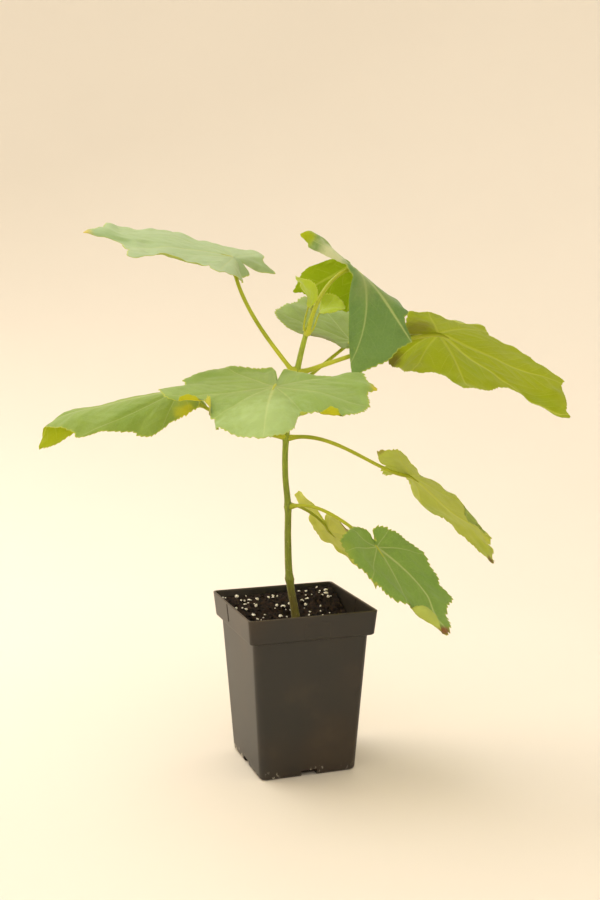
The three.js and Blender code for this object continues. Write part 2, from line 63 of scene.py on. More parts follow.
# A smooth random field: a sum of sine waves in random directions, near one wavelength.
def softField(x, y, seed, wavelength, waves=14):
    source = np.random.default_rng(seed)
    turns = source.uniform(0, 2 * np.pi, waves)
    stretches = source.uniform(0.6, 1.6, waves)
    phases = source.uniform(0, 2 * np.pi, waves)
    total = np.zeros_like(x)
    for turn, stretch, phase in zip(turns, stretches, phases):
        total += np.sin((x * np.cos(turn) + y * np.sin(turn)) * 2 * np.pi / (wavelength * stretch) + phase)
    return total / math.sqrt(waves / 2)


# Unit vectors along the last axis.
def unit(vectors):
    return vectors / np.maximum(np.linalg.norm(vectors, axis=-1, keepdims=True), 1e-9)


# A direction from its heading, turned from +X towards +Y, and its rise above the level.
def direction(heading, rise):
    h, r = math.radians(heading), math.radians(rise)
    return np.array([math.cos(h) * math.cos(r), math.sin(h) * math.cos(r), math.sin(r)])


# A leaf's name in a piece's name, such as LowBack, and in a solid's name, such as low_back.
def capital(name):
    return name[:1].upper() + name[1:]


def solidName(name):
    return "".join("_" + letter.lower() if letter.isupper() else letter for letter in name)


# Four-sided faces between the rows of a grid whose rows are closed rings of the same count.
def ringFaces(rows, columns, start=0):
    row, column = np.meshgrid(np.arange(rows - 1), np.arange(columns), indexing="ij")
    nextColumn = (column + 1) % columns
    a, b = row * columns + column, row * columns + nextColumn
    return start + np.stack([a, b, b + columns, a + columns], axis=-1).reshape(-1, 4)


# Three-sided faces from a ring to its middle point. Turned round where the ring is the first of a tube.
def fanFaces(ringStart, columns, middle, turned=False):
    first = ringStart + np.arange(columns)
    second = ringStart + (np.arange(columns) + 1) % columns
    middles = np.full(columns, middle)
    return np.stack([middles, second, first] if turned else [middles, first, second], axis=-1)


# Points and faces of rings that follow one another, closed by a middle point at each end.
def closedRings(grid):
    count, sides, _ = grid.shape
    points = np.concatenate([grid.reshape(-1, 3), grid[:1].mean(axis=1), grid[-1:].mean(axis=1)])
    middle = count * sides
    fans = [fanFaces(0, sides, middle, turned=True), fanFaces(middle - sides, sides, middle + 1)]
    return points, [ringFaces(count, sides)] + fans


# A mesh piece from whole arrays: points in millimetres, arrays of faces, values per point and a flat map.
def meshPiece(name, points, faces, materials, values=None, flatMap=None, faceMaterial=None, flat=False):
    corners = np.concatenate([f.ravel() for f in faces]).astype(np.int32)
    counts = np.concatenate([np.full(len(f), f.shape[1]) for f in faces])
    starts = np.concatenate([[0], np.cumsum(counts)[:-1]]).astype(np.int32)
    mesh = bpy.data.meshes.new(name)
    mesh.vertices.add(len(points))
    mesh.vertices.foreach_set("co", (np.asarray(points) * millimetre).astype(np.float32).ravel())
    mesh.loops.add(len(corners))
    mesh.loops.foreach_set("vertex_index", corners)
    mesh.polygons.add(len(counts))
    mesh.polygons.foreach_set("loop_start", starts)
    mesh.polygons.foreach_set("use_smooth", np.full(len(counts), not flat))
    for material in materials:
        mesh.materials.append(material)
    if faceMaterial is not None:
        mesh.polygons.foreach_set("material_index", faceMaterial.astype(np.int32))
    mesh.update(calc_edges=True)
    for key, numbers in (values or {}).items():
        layer = mesh.attributes.new(key, "FLOAT", "POINT")
        layer.data.foreach_set("value", np.asarray(numbers, dtype=np.float32))
    if flatMap is not None:
        layer = mesh.uv_layers.new(name="flat")
        layer.data.foreach_set("uv", flatMap[corners].astype(np.float32).ravel())
    mesh.validate()
    piece = bpy.data.objects.new(name, mesh)
    bpy.context.scene.collection.objects.link(piece)
    return piece


# The turns of points spaced evenly round a ring.
def ringTurns(sides):
    return np.linspace(0, 2 * np.pi, sides, endpoint=False)


# A round tube: at each point of the path a ring of the given radius, in the plane across the path.
def tubePoints(path, radii, sides, reference, swell):
    tangents = unit(np.gradient(path, axis=0))
    across = unit(reference - (tangents @ reference)[:, None] * tangents)
    other = np.cross(tangents, across)
    turn = ringTurns(sides)
    ring = np.cos(turn)[None, :, None] * across[:, None, :] + np.sin(turn)[None, :, None] * other[:, None, :]
    reach = np.repeat(np.asarray(radii)[:, None], sides, axis=1)
    reach = reach * swell(np.linspace(0, 1, len(path))[:, None], turn[None, :])
    return path[:, None, :] + ring * reach[:, :, None]


# Points and faces of a closed tube. A flattened round cap of shrinking rings stands out from each end.
def closedTube(grid, path):
    bends, flatness = (30, 60, 80), 0.5
    caps = []
    for end, inward in ((0, 1), (-1, -2)):
        step = unit(path[end] - path[inward])
        radius = np.linalg.norm(grid[end] - path[end], axis=-1).mean()
        for bend in np.radians(bends):
            out = step * radius * flatness * math.sin(bend)
            caps.append(path[end] + (grid[end] - path[end]) * math.cos(bend) + out)
    start, finish = caps[:len(bends)][::-1], caps[len(bends):]
    return closedRings(np.concatenate([np.stack(start), grid, np.stack(finish)]))


# The same for a tube whose rings are level, each with the given reach about a point of the path.
def levelTube(path, reach, turn):
    around = np.stack([reach * np.cos(turn), reach * np.sin(turn), 0 * reach], axis=-1)
    return closedTube(path[:, None, :] + around, path)


# Shader helpers. A value that is a socket is linked, and any other is set on the input itself.
def addNode(tree, kind, inputs=None, **settings):
    made = tree.nodes.new(kind)
    for key, value in settings.items():
        setattr(made, key, value)
    for key, value in (inputs or {}).items():
        if isinstance(value, bpy.types.NodeSocket):
            tree.links.new(value, made.inputs[key])
        else:
            made.inputs[key].default_value = value
    return made


def mathNode(tree, operation, first, second=0.0, third=0.0):
    return addNode(tree, "ShaderNodeMath", {0: first, 1: second, 2: third}, operation=operation).outputs[0]


def times(tree, first, second):
    return mathNode(tree, "MULTIPLY", first, second)


# A value carried from its own range to 0 to 1, held inside that and eased. Low may be above high.
def rampNode(tree, value, low, high):
    inputs = {"Value": value, "From Min": low, "From Max": high}
    return addNode(tree, "ShaderNodeMapRange", inputs, interpolation_type="SMOOTHSTEP").outputs[0]


# Two colours mixed by a share. Three numbers are a colour as on screen, and four are linear already.
def mixColour(tree, share, first, second, blend="MIX"):
    pair = [screenColour(*c) if isinstance(c, tuple) and len(c) == 3 else c for c in (first, second)]
    inputs = {0: share, 6: pair[0], 7: pair[1]}
    return addNode(tree, "ShaderNodeMix", inputs, data_type="RGBA", blend_type=blend).outputs[2]


def noiseNode(tree, vector, scale, detail, roughness=0.5):
    inputs = {"Vector": vector, "Scale": scale, "Detail": detail, "Roughness": roughness}
    return addNode(tree, "ShaderNodeTexNoise", inputs).outputs[0]


# Where a point of the surface is, in metres, and the same place squeezed upward to draw a pattern out.
def placeNode(tree):
    return addNode(tree, "ShaderNodeTexCoord").outputs["Object"]


def drawnOut(tree, place, share):
    return addNode(tree, "ShaderNodeMapping", {"Vector": place, "Scale": (1.0, 1.0, share)}).outputs[0]


def attributeNode(tree, name):
    return addNode(tree, "ShaderNodeAttribute", None, attribute_name=name).outputs["Fac"]


def newMaterial(name):
    material = bpy.data.materials.new(name)
    material.use_nodes = True
    tree = material.node_tree
    tree.nodes.clear()
    return material, tree


# The shader's surface: a principled base, with light let through where the glow share is above zero.
def finishMaterial(tree, colour, height, settings, glow=None, glowShare=0.0):
    relief = {"Height": height, "Strength": settings["bump"], "Distance": settings["bumpDepth"]}
    normal = addNode(tree, "ShaderNodeBump", relief).outputs[0]
    skin = {"Base Color": colour, "Normal": normal, "Roughness": settings["roughness"]}
    base = addNode(tree, "ShaderNodeBsdfPrincipled", skin)
    base.inputs["Specular IOR Level"].default_value = settings.get("gloss", 0.4)
    base.inputs["Sheen Weight"].default_value = settings.get("sheen", 0.0)
    base.inputs["Sheen Roughness"].default_value = 0.5
    base.inputs["Sheen Tint"].default_value = (*settings.get("sheenTint", (1.0, 1.0, 1.0)), 1.0)
    surface = base.outputs[0]
    if glowShare:
        through = addNode(tree, "ShaderNodeBsdfTranslucent", {"Color": glow, "Normal": normal})
        shares = {0: glowShare, 1: surface, 2: through.outputs[0]}
        surface = addNode(tree, "ShaderNodeMixShader", shares).outputs[0]
    addNode(tree, "ShaderNodeOutputMaterial", {"Surface": surface})


# Pot: a thin tapered square wall under a deeper, wider rim band. Along a side, stations stand close together
# as far as fineHalf from its middle. Rows are the rings up each part of the wall, both its ends counted.
pot = {
    "height": 128.0, "baseWidth": 76.8, "shoulderWidth": 91.4, "wall": 1.6, "floor": 2.4, "corner": 5.2,
    "rimHeight": 19.4, "rimBottomWidth": 98.2, "rimTopWidth": 102.0, "rimCorner": 3.2, "rimRound": 1.3,
    "lip": 0.8, "foot": 2.4, "notchWidth": 13.0, "notchHeight": 4.6, "notchDepth": 8.0, "notchPast": 8.0,
    "grooveAt": -9.0, "grooveWidth": 2.6, "grooveLow": 113.0, "grooveHigh": 126.6, "grooveDepth": 0.8,
    "grooveInside": 0.45, "panelLeft": -7.0, "panelRight": 12.5, "panelLow": 110.4, "panelHigh": 122.6,
    "panelRise": 0.28, "panelBorder": 1.0, "panelBack": 0.75, "stepLength": 0.5, "hardAngle": 32,
    "fineHalf": 15.0, "fineStations": 61, "outerStations": 8, "underWidths": (6, 24, 44, 60),
    "floorWidths": (50, 24, 6), "bodyRows": 34, "rimRows": 40, "rimInsideRows": 26, "bodyInsideRows": 12,
    # The pale dust colour also paints the highlight along the lip.
    "colour": (44, 34, 22), "dust": (92, 76, 54), "scuff": (190, 184, 170), "cool": (32, 30, 25),
}
shoulder = pot["height"] - pot["rimHeight"]
innerStep = shoulder + pot["wall"]


def bodyWidth(z):
    return pot["baseWidth"] + (pot["shoulderWidth"] - pot["baseWidth"]) * z / shoulder


def rimWidth(z):
    widening = pot["rimTopWidth"] - pot["rimBottomWidth"]
    return pot["rimBottomWidth"] + widening * (z - shoulder) / pot["rimHeight"]


# Stations along one side, in millimetres from its middle: close together where the fine features are,
# and spread out evenly towards the corners. A short side has as many, evenly spread.
def sideStations(half):
    fine, outer = pot["fineHalf"], pot["outerStations"]
    if half <= fine + 1:
        return np.linspace(-half, half, pot["fineStations"] + 2 * outer)
    out = fine + np.linspace(0, 1, outer + 1)[1:] * (half - fine)
    return np.concatenate([-out[::-1], np.linspace(-fine, fine, pot["fineStations"]), out])


# A square ring with round corners: four straight sides and four arcs, anticlockwise from the front side.
# Returns it with each point's side, or -1 on an arc, and the way along that side.
def squareRing(width, corner, z, arcSteps=9):
    half = width / 2 - corner
    points, sideIndex, along = [], [], []
    stations = sideStations(half)
    for side in range(4):
        turn = math.radians(90 * side - 90)
        normal = np.array([math.cos(turn), math.sin(turn)])
        tangent = np.array([-math.sin(turn), math.cos(turn)])
        points.append(normal * width / 2 + tangent * stations[:, None])
        arc = turn + np.linspace(0, np.pi / 2, arcSteps + 2)[1:-1]
        points.append((normal + tangent) * half + corner * np.stack([np.cos(arc), np.sin(arc)], axis=-1))
        sideIndex += [side] * len(stations) + [-1] * arcSteps
        along += list(stations) + [0.0] * arcSteps
    flat = np.concatenate(points)
    return np.column_stack([flat, np.full(len(flat), z)]), np.array(sideIndex), np.array(along)


# How far a wall point stands out: an even raised border round the panel, and a sunk groove on two sides.
def wallRelief(sideIndex, along, z, inner):
    def inside(value, low, high):
        length = pot["stepLength"]
        return eased((value - low) / length + 0.5) * eased((high - value) / length + 0.5)

    def patch(left, right, low, high):
        return inside(along, left, right) * inside(np.full_like(along, z), low, high)

    half = pot["grooveWidth"] / 2
    groove = patch(pot["grooveAt"] - half, pot["grooveAt"] + half, pot["grooveLow"], pot["grooveHigh"])
    groove = groove * np.isin(sideIndex, (1, 3))
    if inner:
        return groove * pot["grooveInside"]
    left, right, low, high = (pot["panel" + edge] for edge in ("Left", "Right", "Low", "High"))
    border = pot["panelBorder"]
    within = patch(left + border, right - border, low + border, high - border)
    panel = (patch(left, right, low, high) - pot["panelBack"] * within) * (sideIndex == 0)
    return pot["panelRise"] * panel - pot["grooveDepth"] * groove


# The pot's surface: square rings carried along the wall's profile, up the outside and down the inside.
def potSurface():
    corner, rimCorner, wall = pot["corner"], pot["rimCorner"], pot["wall"]
    foot, under, lip = pot["foot"], pot["rimRound"], pot["lip"]
    lipFrom = pot["height"] - lip
    levels = [(width, min(corner, width / 3), 0.0, "under") for width in pot["underWidths"]]
    for bend in np.radians(np.linspace(0, 90, 7)):
        z = foot * (1 - math.cos(bend))
        levels.append((bodyWidth(z) - 2 * foot * (1 - math.sin(bend)), corner, z, "outer"))
    for z in np.linspace(foot, shoulder, pot["bodyRows"])[1:]:
        levels.append((bodyWidth(z), corner, z, "outer"))
    for bend in np.radians(np.linspace(0, 90, 6)):
        z = shoulder + under * (1 - math.cos(bend))
        levels.append((rimWidth(z) - 2 * under * (1 - math.sin(bend)), rimCorner, z, "outer"))
    for z in np.linspace(shoulder + under, lipFrom, pot["rimRows"])[1:]:
        levels.append((rimWidth(z), rimCorner, z, "outer"))
    for bend in np.radians(np.linspace(0, 180, 9))[1:]:
        width = pot["rimTopWidth"] - 2 * lip * (1 - math.cos(bend))
        levels.append((width, rimCorner, lipFrom + lip * math.sin(bend), "lip"))
    for z in np.linspace(lipFrom, innerStep, pot["rimInsideRows"])[1:]:
        levels.append((rimWidth(z) - 2 * wall, rimCorner - wall, z, "inner"))
    for z in np.linspace(shoulder, pot["floor"], pot["bodyInsideRows"]):
        levels.append((bodyWidth(z) - 2 * wall, corner - wall, z, "inner"))
    levels += [(width, min(corner, width / 3), pot["floor"], "under") for width in pot["floorWidths"]]
    rings = []
    for width, radius, z, part in levels:
        ring, sideIndex, along = squareRing(width, radius, z)
        if part in ("outer", "inner"):
            turns = np.radians(90.0 * sideIndex - 90)
            outward = np.stack([np.cos(turns), np.sin(turns)], axis=-1)
            ring[:, :2] += outward * wallRelief(sideIndex, along, z, part == "inner")[:, None]
        rings.append(ring)
    points, faces = closedRings(np.stack(rings))
    # Each point's share of painted highlight: 1 on the rings of the rounded lip, 0 elsewhere.
    wear = np.repeat([float(level[3] == "lip") for level in levels], len(rings[0]))
    return points, faces, np.concatenate([wear, [0.0, 0.0]])


# Dark plastic: fine moulding grain, cloudy dust, pale scuffs near the foot and a painted highlight along the
# lip.
def potMaterial():
    material, tree = newMaterial("potPlastic")
    place = placeNode(tree)
    cloud = noiseNode(tree, place, 14.0, 2.0, 0.5)
    grain = noiseNode(tree, place, 1400.0, 2.0)
    height = addNode(tree, "ShaderNodeSeparateXYZ", {0: place}).outputs[2]
    colour = mixColour(tree, rampNode(tree, cloud, 0.35, 0.7), pot["cool"], pot["colour"])
    dustHere = times(tree, rampNode(tree, noiseNode(tree, place, 30.0, 5.0, 0.6), 0.5, 0.75), 0.1)
    colour = mixColour(tree, dustHere, colour, pot["dust"])
    low = rampNode(tree, height, 0.008, 0.003)
    marks = rampNode(tree, noiseNode(tree, drawnOut(tree, place, 0.45), 420.0, 3.0, 0.6), 0.55, 0.62)
    patch = rampNode(tree, noiseNode(tree, place, 45.0, 1.0), 0.45, 0.55)
    scuffHere = times(tree, times(tree, marks, low), patch)
    colour = mixColour(tree, times(tree, scuffHere, 0.9), colour, pot["scuff"])
    # Painted highlight: the rounded lip is mixed 0.3 of the way towards the pale dust colour.
    colour = mixColour(tree, times(tree, attributeNode(tree, "wear"), 0.3), colour, pot["dust"])
    finishMaterial(tree, colour, grain, {"bump": 0.1, "bumpDepth": 0.0003, "roughness": 0.4, "gloss": 0.5})
    return material


# The pot, with a block cut out of the middle of each bottom edge.
def makePot():
    points, faces, wear = potSurface()
    piece = meshPiece("nurseryPot", points, faces, [potMaterial()], {"wear": wear})
    wide, high, reach = pot["notchWidth"] / 2, pot["notchHeight"], pot["baseWidth"] / 2
    depths = (reach - pot["notchDepth"], reach + pot["notchPast"])
    corners = np.array([[x, y, z] for x in (-wide, wide) for y in depths for z in (-high, high)])
    quads = np.array([[0, 1, 3, 2], [4, 6, 7, 5], [0, 4, 5, 1], [2, 3, 7, 6], [0, 2, 6, 4], [1, 5, 7, 3]])
    blocks = []
    for turn in np.radians([0, 90, 180, 270]):
        c, s = math.cos(turn), math.sin(turn)
        blocks.append(corners @ np.array([[c, -s, 0], [s, c, 0], [0, 0, 1]]).T)
    sides = np.concatenate([quads + len(corners) * number for number in range(len(blocks))])
    cutter = meshPiece("notchCutter", np.concatenate(blocks), [sides], [])
    cut = piece.modifiers.new("drainNotches", "BOOLEAN")
    cut.operation = "DIFFERENCE"
    cut.solver = "EXACT"
    cut.object = cutter
    applyModifiers(piece)
    bpy.data.objects.remove(cutter)
    smoothByAngle(piece, pot["hardAngle"])
    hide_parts("pot")
    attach(piece, "root")
    print("pot made,", len(piece.data.polygons), "faces")


# Applies every modifier of a piece, and leaves its mesh in its place.
def applyModifiers(piece):
    evaluated = piece.evaluated_get(bpy.context.evaluated_depsgraph_get())
    mesh = bpy.data.meshes.new_from_object(evaluated)
    piece.modifiers.clear()
    piece.data = mesh


# Smooth shading, with a hard edge where two faces meet at more than the angle.
def smoothByAngle(piece, angle):
    mesh = piece.data
    mesh.polygons.foreach_set("use_smooth", np.ones(len(mesh.polygons), dtype=bool))
    mesh.set_sharp_from_angle(angle=math.radians(angle))


# Soil: low in front of the stem and heaped against the back wall, most in its right corner.
soil = {
    "front": 112.5, "rise": 10.0, "riseFrom": -2.0, "riseLength": 44.0, "heap": 3.0, "heapX": 40.0,
    "heapY": 42.0, "heapSpread": 14.0, "level": 113.0, "levelRadius": 9.0, "stemX": 2.2, "lump": 0.75,
    "coarseLength": 11.0, "coarse": 0.9, "fineLength": 3.6, "fine": 0.45, "sunk": 0.3, "calm": 3.0,
    "calmEdge": 5.0, "rings": 64, "gap": 0.3,
    "dark": (16, 10, 6), "brown": (44, 29, 18), "crumb": (40, 27, 18), "grain": (236, 230, 216),
    "grainPale": (250, 246, 236),
}
# Loose bits: how many, from which to which radius, the seed and the share of the radius that is sunk. They
# keep clear of the stem and the wall. Skew above 1 makes small ones more common.
bits = {
    "crumbs": (300, (0.5, 1.9), 11, 0.25), "grains": (150, (0.7, 2.0), 12, 0.55), "skew": 1.6, "flat": 0.8,
    "fromStem": 5.5, "fromWall": 0.5, "stretch": (0.65, 1.25), "rough": (0.78, 1.15),
}


# Height of the soil: an eased rise from front to back, a heap in one corner and a level patch round the stem.
def soilHeight(x, y):
    rise = eased((y - soil["riseFrom"]) / soil["riseLength"])
    far = ((x - soil["heapX"]) ** 2 + (y - soil["heapY"]) ** 2) / (2 * soil["heapSpread"] ** 2)
    height = soil["front"] + soil["rise"] * rise + soil["heap"] * np.exp(-far)
    away = np.hypot(x - soil["stemX"], y)
    patch = eased((away - soil["levelRadius"]) / soil["levelRadius"])
    return soil["level"] + (height - soil["level"]) * patch


# The same with lumps: two soft random fields, the coarse one folded so that it makes crevices.
def lumpySoil(x, y):
    coarse = soil["coarse"] - np.abs(softField(x, y, 3, soil["coarseLength"])) * soil["coarse"]
    fine = softField(x, y, 4, soil["fineLength"])
    keep = eased((np.hypot(x - soil["stemX"], y) - soil["calm"]) / soil["calmEdge"])
    return soilHeight(x, y) + soil["lump"] * keep * (coarse + soil["fine"] * fine) - soil["sunk"]


# The soil block: rings up the pot's wall, then shrinking rings over the lumpy top to one middle point.
def makeSoil():
    room = 2 * pot["wall"] + 2 * soil["gap"]
    inside = pot["corner"] - pot["wall"]
    bottom = pot["floor"] + soil["gap"]
    rings = [squareRing(width, inside, bottom)[0] for width in (20, 50)]
    for z in (bottom, 40.0, 80.0, shoulder):
        rings.append(squareRing(bodyWidth(z) - room, inside, z)[0])
    edge = rimWidth(innerStep) - room
    rings.append(squareRing(edge, inside, innerStep + soil["gap"])[0])
    for share in np.linspace(1, 0.02, soil["rings"]):
        ring = squareRing(edge, inside, 0)[0] * share
        ring[:, 2] = lumpySoil(ring[:, 0], ring[:, 1])
        rings.append(ring)
    points, faces = closedRings(np.stack(rings))
    skin = soilMaterial("pottingMixSoil", soil["dark"], soil["brown"])
    piece = meshPiece("pottingMix", points, faces, [skin])
    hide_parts("soil")
    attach(piece, "root")
    makeBits("barkCrumbs", *bits["crumbs"], soilMaterial("barkCrumb", soil["dark"], soil["crumb"]))
    makeBits("perliteGrains", *bits["grains"], soilMaterial("perlite", soil["grain"], soil["grainPale"], 0.9))
    print("soil made")


def soilMaterial(name, first, second, rough=0.95):
    material, tree = newMaterial(name)
    place = placeNode(tree)
    patches = rampNode(tree, noiseNode(tree, place, 260.0, 4.0, 0.65), 0.38, 0.66)
    colour = mixColour(tree, patches, first, second)
    grit = noiseNode(tree, place, 1300.0, 4.0, 0.7)
    finishMaterial(tree, colour, grit, {"bump": 0.7, "bumpDepth": 0.0008, "roughness": rough, "gloss": 0.2})
    return material


# Small rough bits on the soil: twenty-sided solids with their corners moved at random, joined into one piece.
def makeBits(name, count, sizes, seed, sink, material):
    source = np.random.default_rng(seed)
    golden = (1 + math.sqrt(5)) / 2
    corners = [np.roll((b, a, 0), k) for k in range(3) for a in (golden, -golden) for b in (-1, 1)]
    corners = np.array(corners) / math.hypot(1, golden)
    triangles = np.array([[0, 11, 5], [0, 5, 1], [0, 1, 7], [0, 7, 10], [0, 10, 11], [1, 5, 9], [5, 11, 4],
                          [11, 10, 2], [10, 7, 6], [7, 1, 8], [3, 9, 4], [3, 4, 2], [3, 2, 6], [3, 6, 8],
                          [3, 8, 9], [4, 9, 5], [2, 4, 11], [6, 2, 10], [8, 6, 7], [9, 8, 1]])
    reach = rimWidth(innerStep) / 2 - pot["wall"] - sizes[1] - bits["fromWall"]
    x = source.uniform(-reach, reach, count)
    y = source.uniform(-reach, reach, count)
    clear = np.hypot(x - soil["stemX"], y) > bits["fromStem"]
    x, y = x[clear], y[clear]
    size = sizes[0] + (sizes[1] - sizes[0]) * source.uniform(0, 1, len(x)) ** bits["skew"]
    stretch = source.uniform(*bits["stretch"], (len(x), 1, 3))
    rough = source.uniform(*bits["rough"], (len(x), 12, 1))
    turn = source.uniform(0, 2 * np.pi, len(x))
    shape = corners[None] * stretch * rough * size[:, None, None]
    c, s = np.cos(turn)[:, None], np.sin(turn)[:, None]
    spun = np.stack([shape[..., 0] * c - shape[..., 1] * s, shape[..., 0] * s + shape[..., 1] * c,
                     shape[..., 2] * bits["flat"]], axis=-1)
    middle = np.stack([x, y, lumpySoil(x, y) + size * (0.5 - sink)], axis=-1)
    points = (spun + middle[:, None, :]).reshape(-1, 3)
    faces = (triangles[None] + 12 * np.arange(len(x))[:, None, None]).reshape(-1, 3)
    piece = meshPiece(name, points, [faces], [material], flat=True)
    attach(piece, "root")


# Stem: its axis and radius by height. It leans and sways a little, and swells at each pair of leaves. The
# reliefs are in millimetres: a collar with a seam above it at each joint, broad and fine ribs, and creases.
stem = {
    "forward": 0.35, "foot": 110.0, "top": 350.0, "swell": 0.22, "swellLength": 3.2,
    "joints": (145, 202, 255, 294, 306, 339), "sides": 40, "rows": 420,
    "heights": (113.3, 119, 145, 178, 202, 226, 255, 280, 306, 326, 341, 350),
    "acrosses": (2.2, 1.4, -2.5, -3.7, -3.6, -5.5, -4.9, -1.3, 3.0, 7.3, 11.2, 13.6),
    "radii": (3.7, 3.2, 3.0, 2.7, 2.6, 2.3, 2.3, 2.3, 2.3, 2.1, 1.8, 1.4),
    "collar": 0.16, "seamShare": 0.6, "seamAbove": 1.5, "ribs": 0.06, "fineRibs": 0.035, "creases": 0.05,
    "footTint": (112, 106, 44), "low": (122, 136, 34), "middle": (140, 160, 34), "high": (156, 178, 46),
    "speck": (176, 166, 104),
}


# A smooth curve through the listed heights, worked out from each span's end values and slopes.
def smoothThrough(knots, values, at):
    knots, values = np.asarray(knots, float), np.asarray(values, float)
    slopes = np.gradient(values, knots)
    i = np.clip(np.searchsorted(knots, at, side="right") - 1, 0, len(knots) - 2)
    span = knots[i + 1] - knots[i]
    s = np.clip((at - knots[i]) / span, 0.0, 1.0)
    rest = 1 - s
    return (values[i] * (1 + 2 * s) * rest ** 2 + slopes[i] * span * s * rest ** 2
            + values[i + 1] * s ** 2 * (3 - 2 * s) - slopes[i + 1] * span * s ** 2 * rest)


def stemPoint(z):
    x = np.interp(z, stem["heights"], stem["acrosses"])
    return np.array([x, -stem["forward"] * x, z])


def stemRadius(z):
    radius = np.interp(z, stem["heights"], stem["radii"])
    swelling = sum(np.exp(-((z - joint) / stem["swellLength"]) ** 2) for joint in stem["joints"])
    return radius * (1 + stem["swell"] * np.minimum(swelling, 1.0))


# The stem: level rings along the axis. Its relief is a thin collar at each joint, shallow ribs that turn
# slowly on the way up and fine lengthwise creases, deepest at the foot.
def makeStem():
    z = np.linspace(stem["foot"], stem["top"], stem["rows"])
    x = smoothThrough(stem["heights"], stem["acrosses"], np.maximum(z, stem["heights"][0]))
    path = np.stack([x, -stem["forward"] * x, z], axis=-1)
    zz, tt = z[:, None], ringTurns(stem["sides"])[None, :]
    reach = stemRadius(z)[:, None] * np.ones_like(tt)
    for number, joint in enumerate(stem["joints"]):
        above = zz - joint - 0.5 * np.sin(tt + 1.9 * number)
        seam = stem["seamShare"] * np.exp(-((above - stem["seamAbove"]) / 0.6) ** 2)
        reach = reach + stem["collar"] * (np.exp(-(above / 0.55) ** 2) - seam)
    ribs = np.cos(4 * tt + zz / 38) * stem["ribs"]
    ribs = ribs + np.cos(11 * tt - zz / 25 + np.sin(zz / 9)) * stem["fineRibs"]
    creases = softField(tt * 9 + 0 * zz, zz * 0.35 + 0 * tt, 21, 3.0) * stem["creases"]
    footRough = np.clip((175 - zz) / 60, 0.25, 1.0)
    reach = reach + ribs + creases * footRough
    points, faces = levelTube(path, reach, tt)
    piece = meshPiece("stemSkin", points, faces, [stemMaterial()])
    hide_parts("stem")
    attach(piece, "root")
    print("stem made")


# Stem skin: brown-green at the foot, mid green above, with lengthwise streaks and pale specks.
def stemMaterial():
    material, tree = newMaterial("stemSkin")
    place = placeNode(tree)
    height = addNode(tree, "ShaderNodeSeparateXYZ", {0: place}).outputs[2]
    colour = mixColour(tree, rampNode(tree, height, 0.128, 0.152), stem["footTint"], stem["low"])
    colour = mixColour(tree, rampNode(tree, height, 0.17, 0.26), colour, stem["middle"])
    colour = mixColour(tree, rampNode(tree, height, 0.28, 0.34), colour, stem["high"])
    streaks = noiseNode(tree, drawnOut(tree, place, 0.12), 900.0, 3.0, 0.6)
    shade = mixColour(tree, rampNode(tree, streaks, 0.3, 0.7), (0.62, 0.6, 0.5, 1), (1.15, 1.12, 1.0, 1))
    colour = mixColour(tree, 0.75, colour, shade, "MULTIPLY")
    cellPlace = {"Vector": drawnOut(tree, place, 0.55), "Scale": 420.0}
    cells = addNode(tree, "ShaderNodeTexVoronoi", cellPlace).outputs["Distance"]
    specks = times(tree, rampNode(tree, cells, 0.2, 0.1), 0.5)
    colour = mixColour(tree, specks, colour, stem["speck"])
    heights = mathNode(tree, "MULTIPLY_ADD", specks, 1.2, streaks)
    finish = {"bump": 0.45, "bumpDepth": 0.0004, "roughness": 0.5, "sheen": 0.15}
    finishMaterial(tree, colour, heights, finish)
    return material


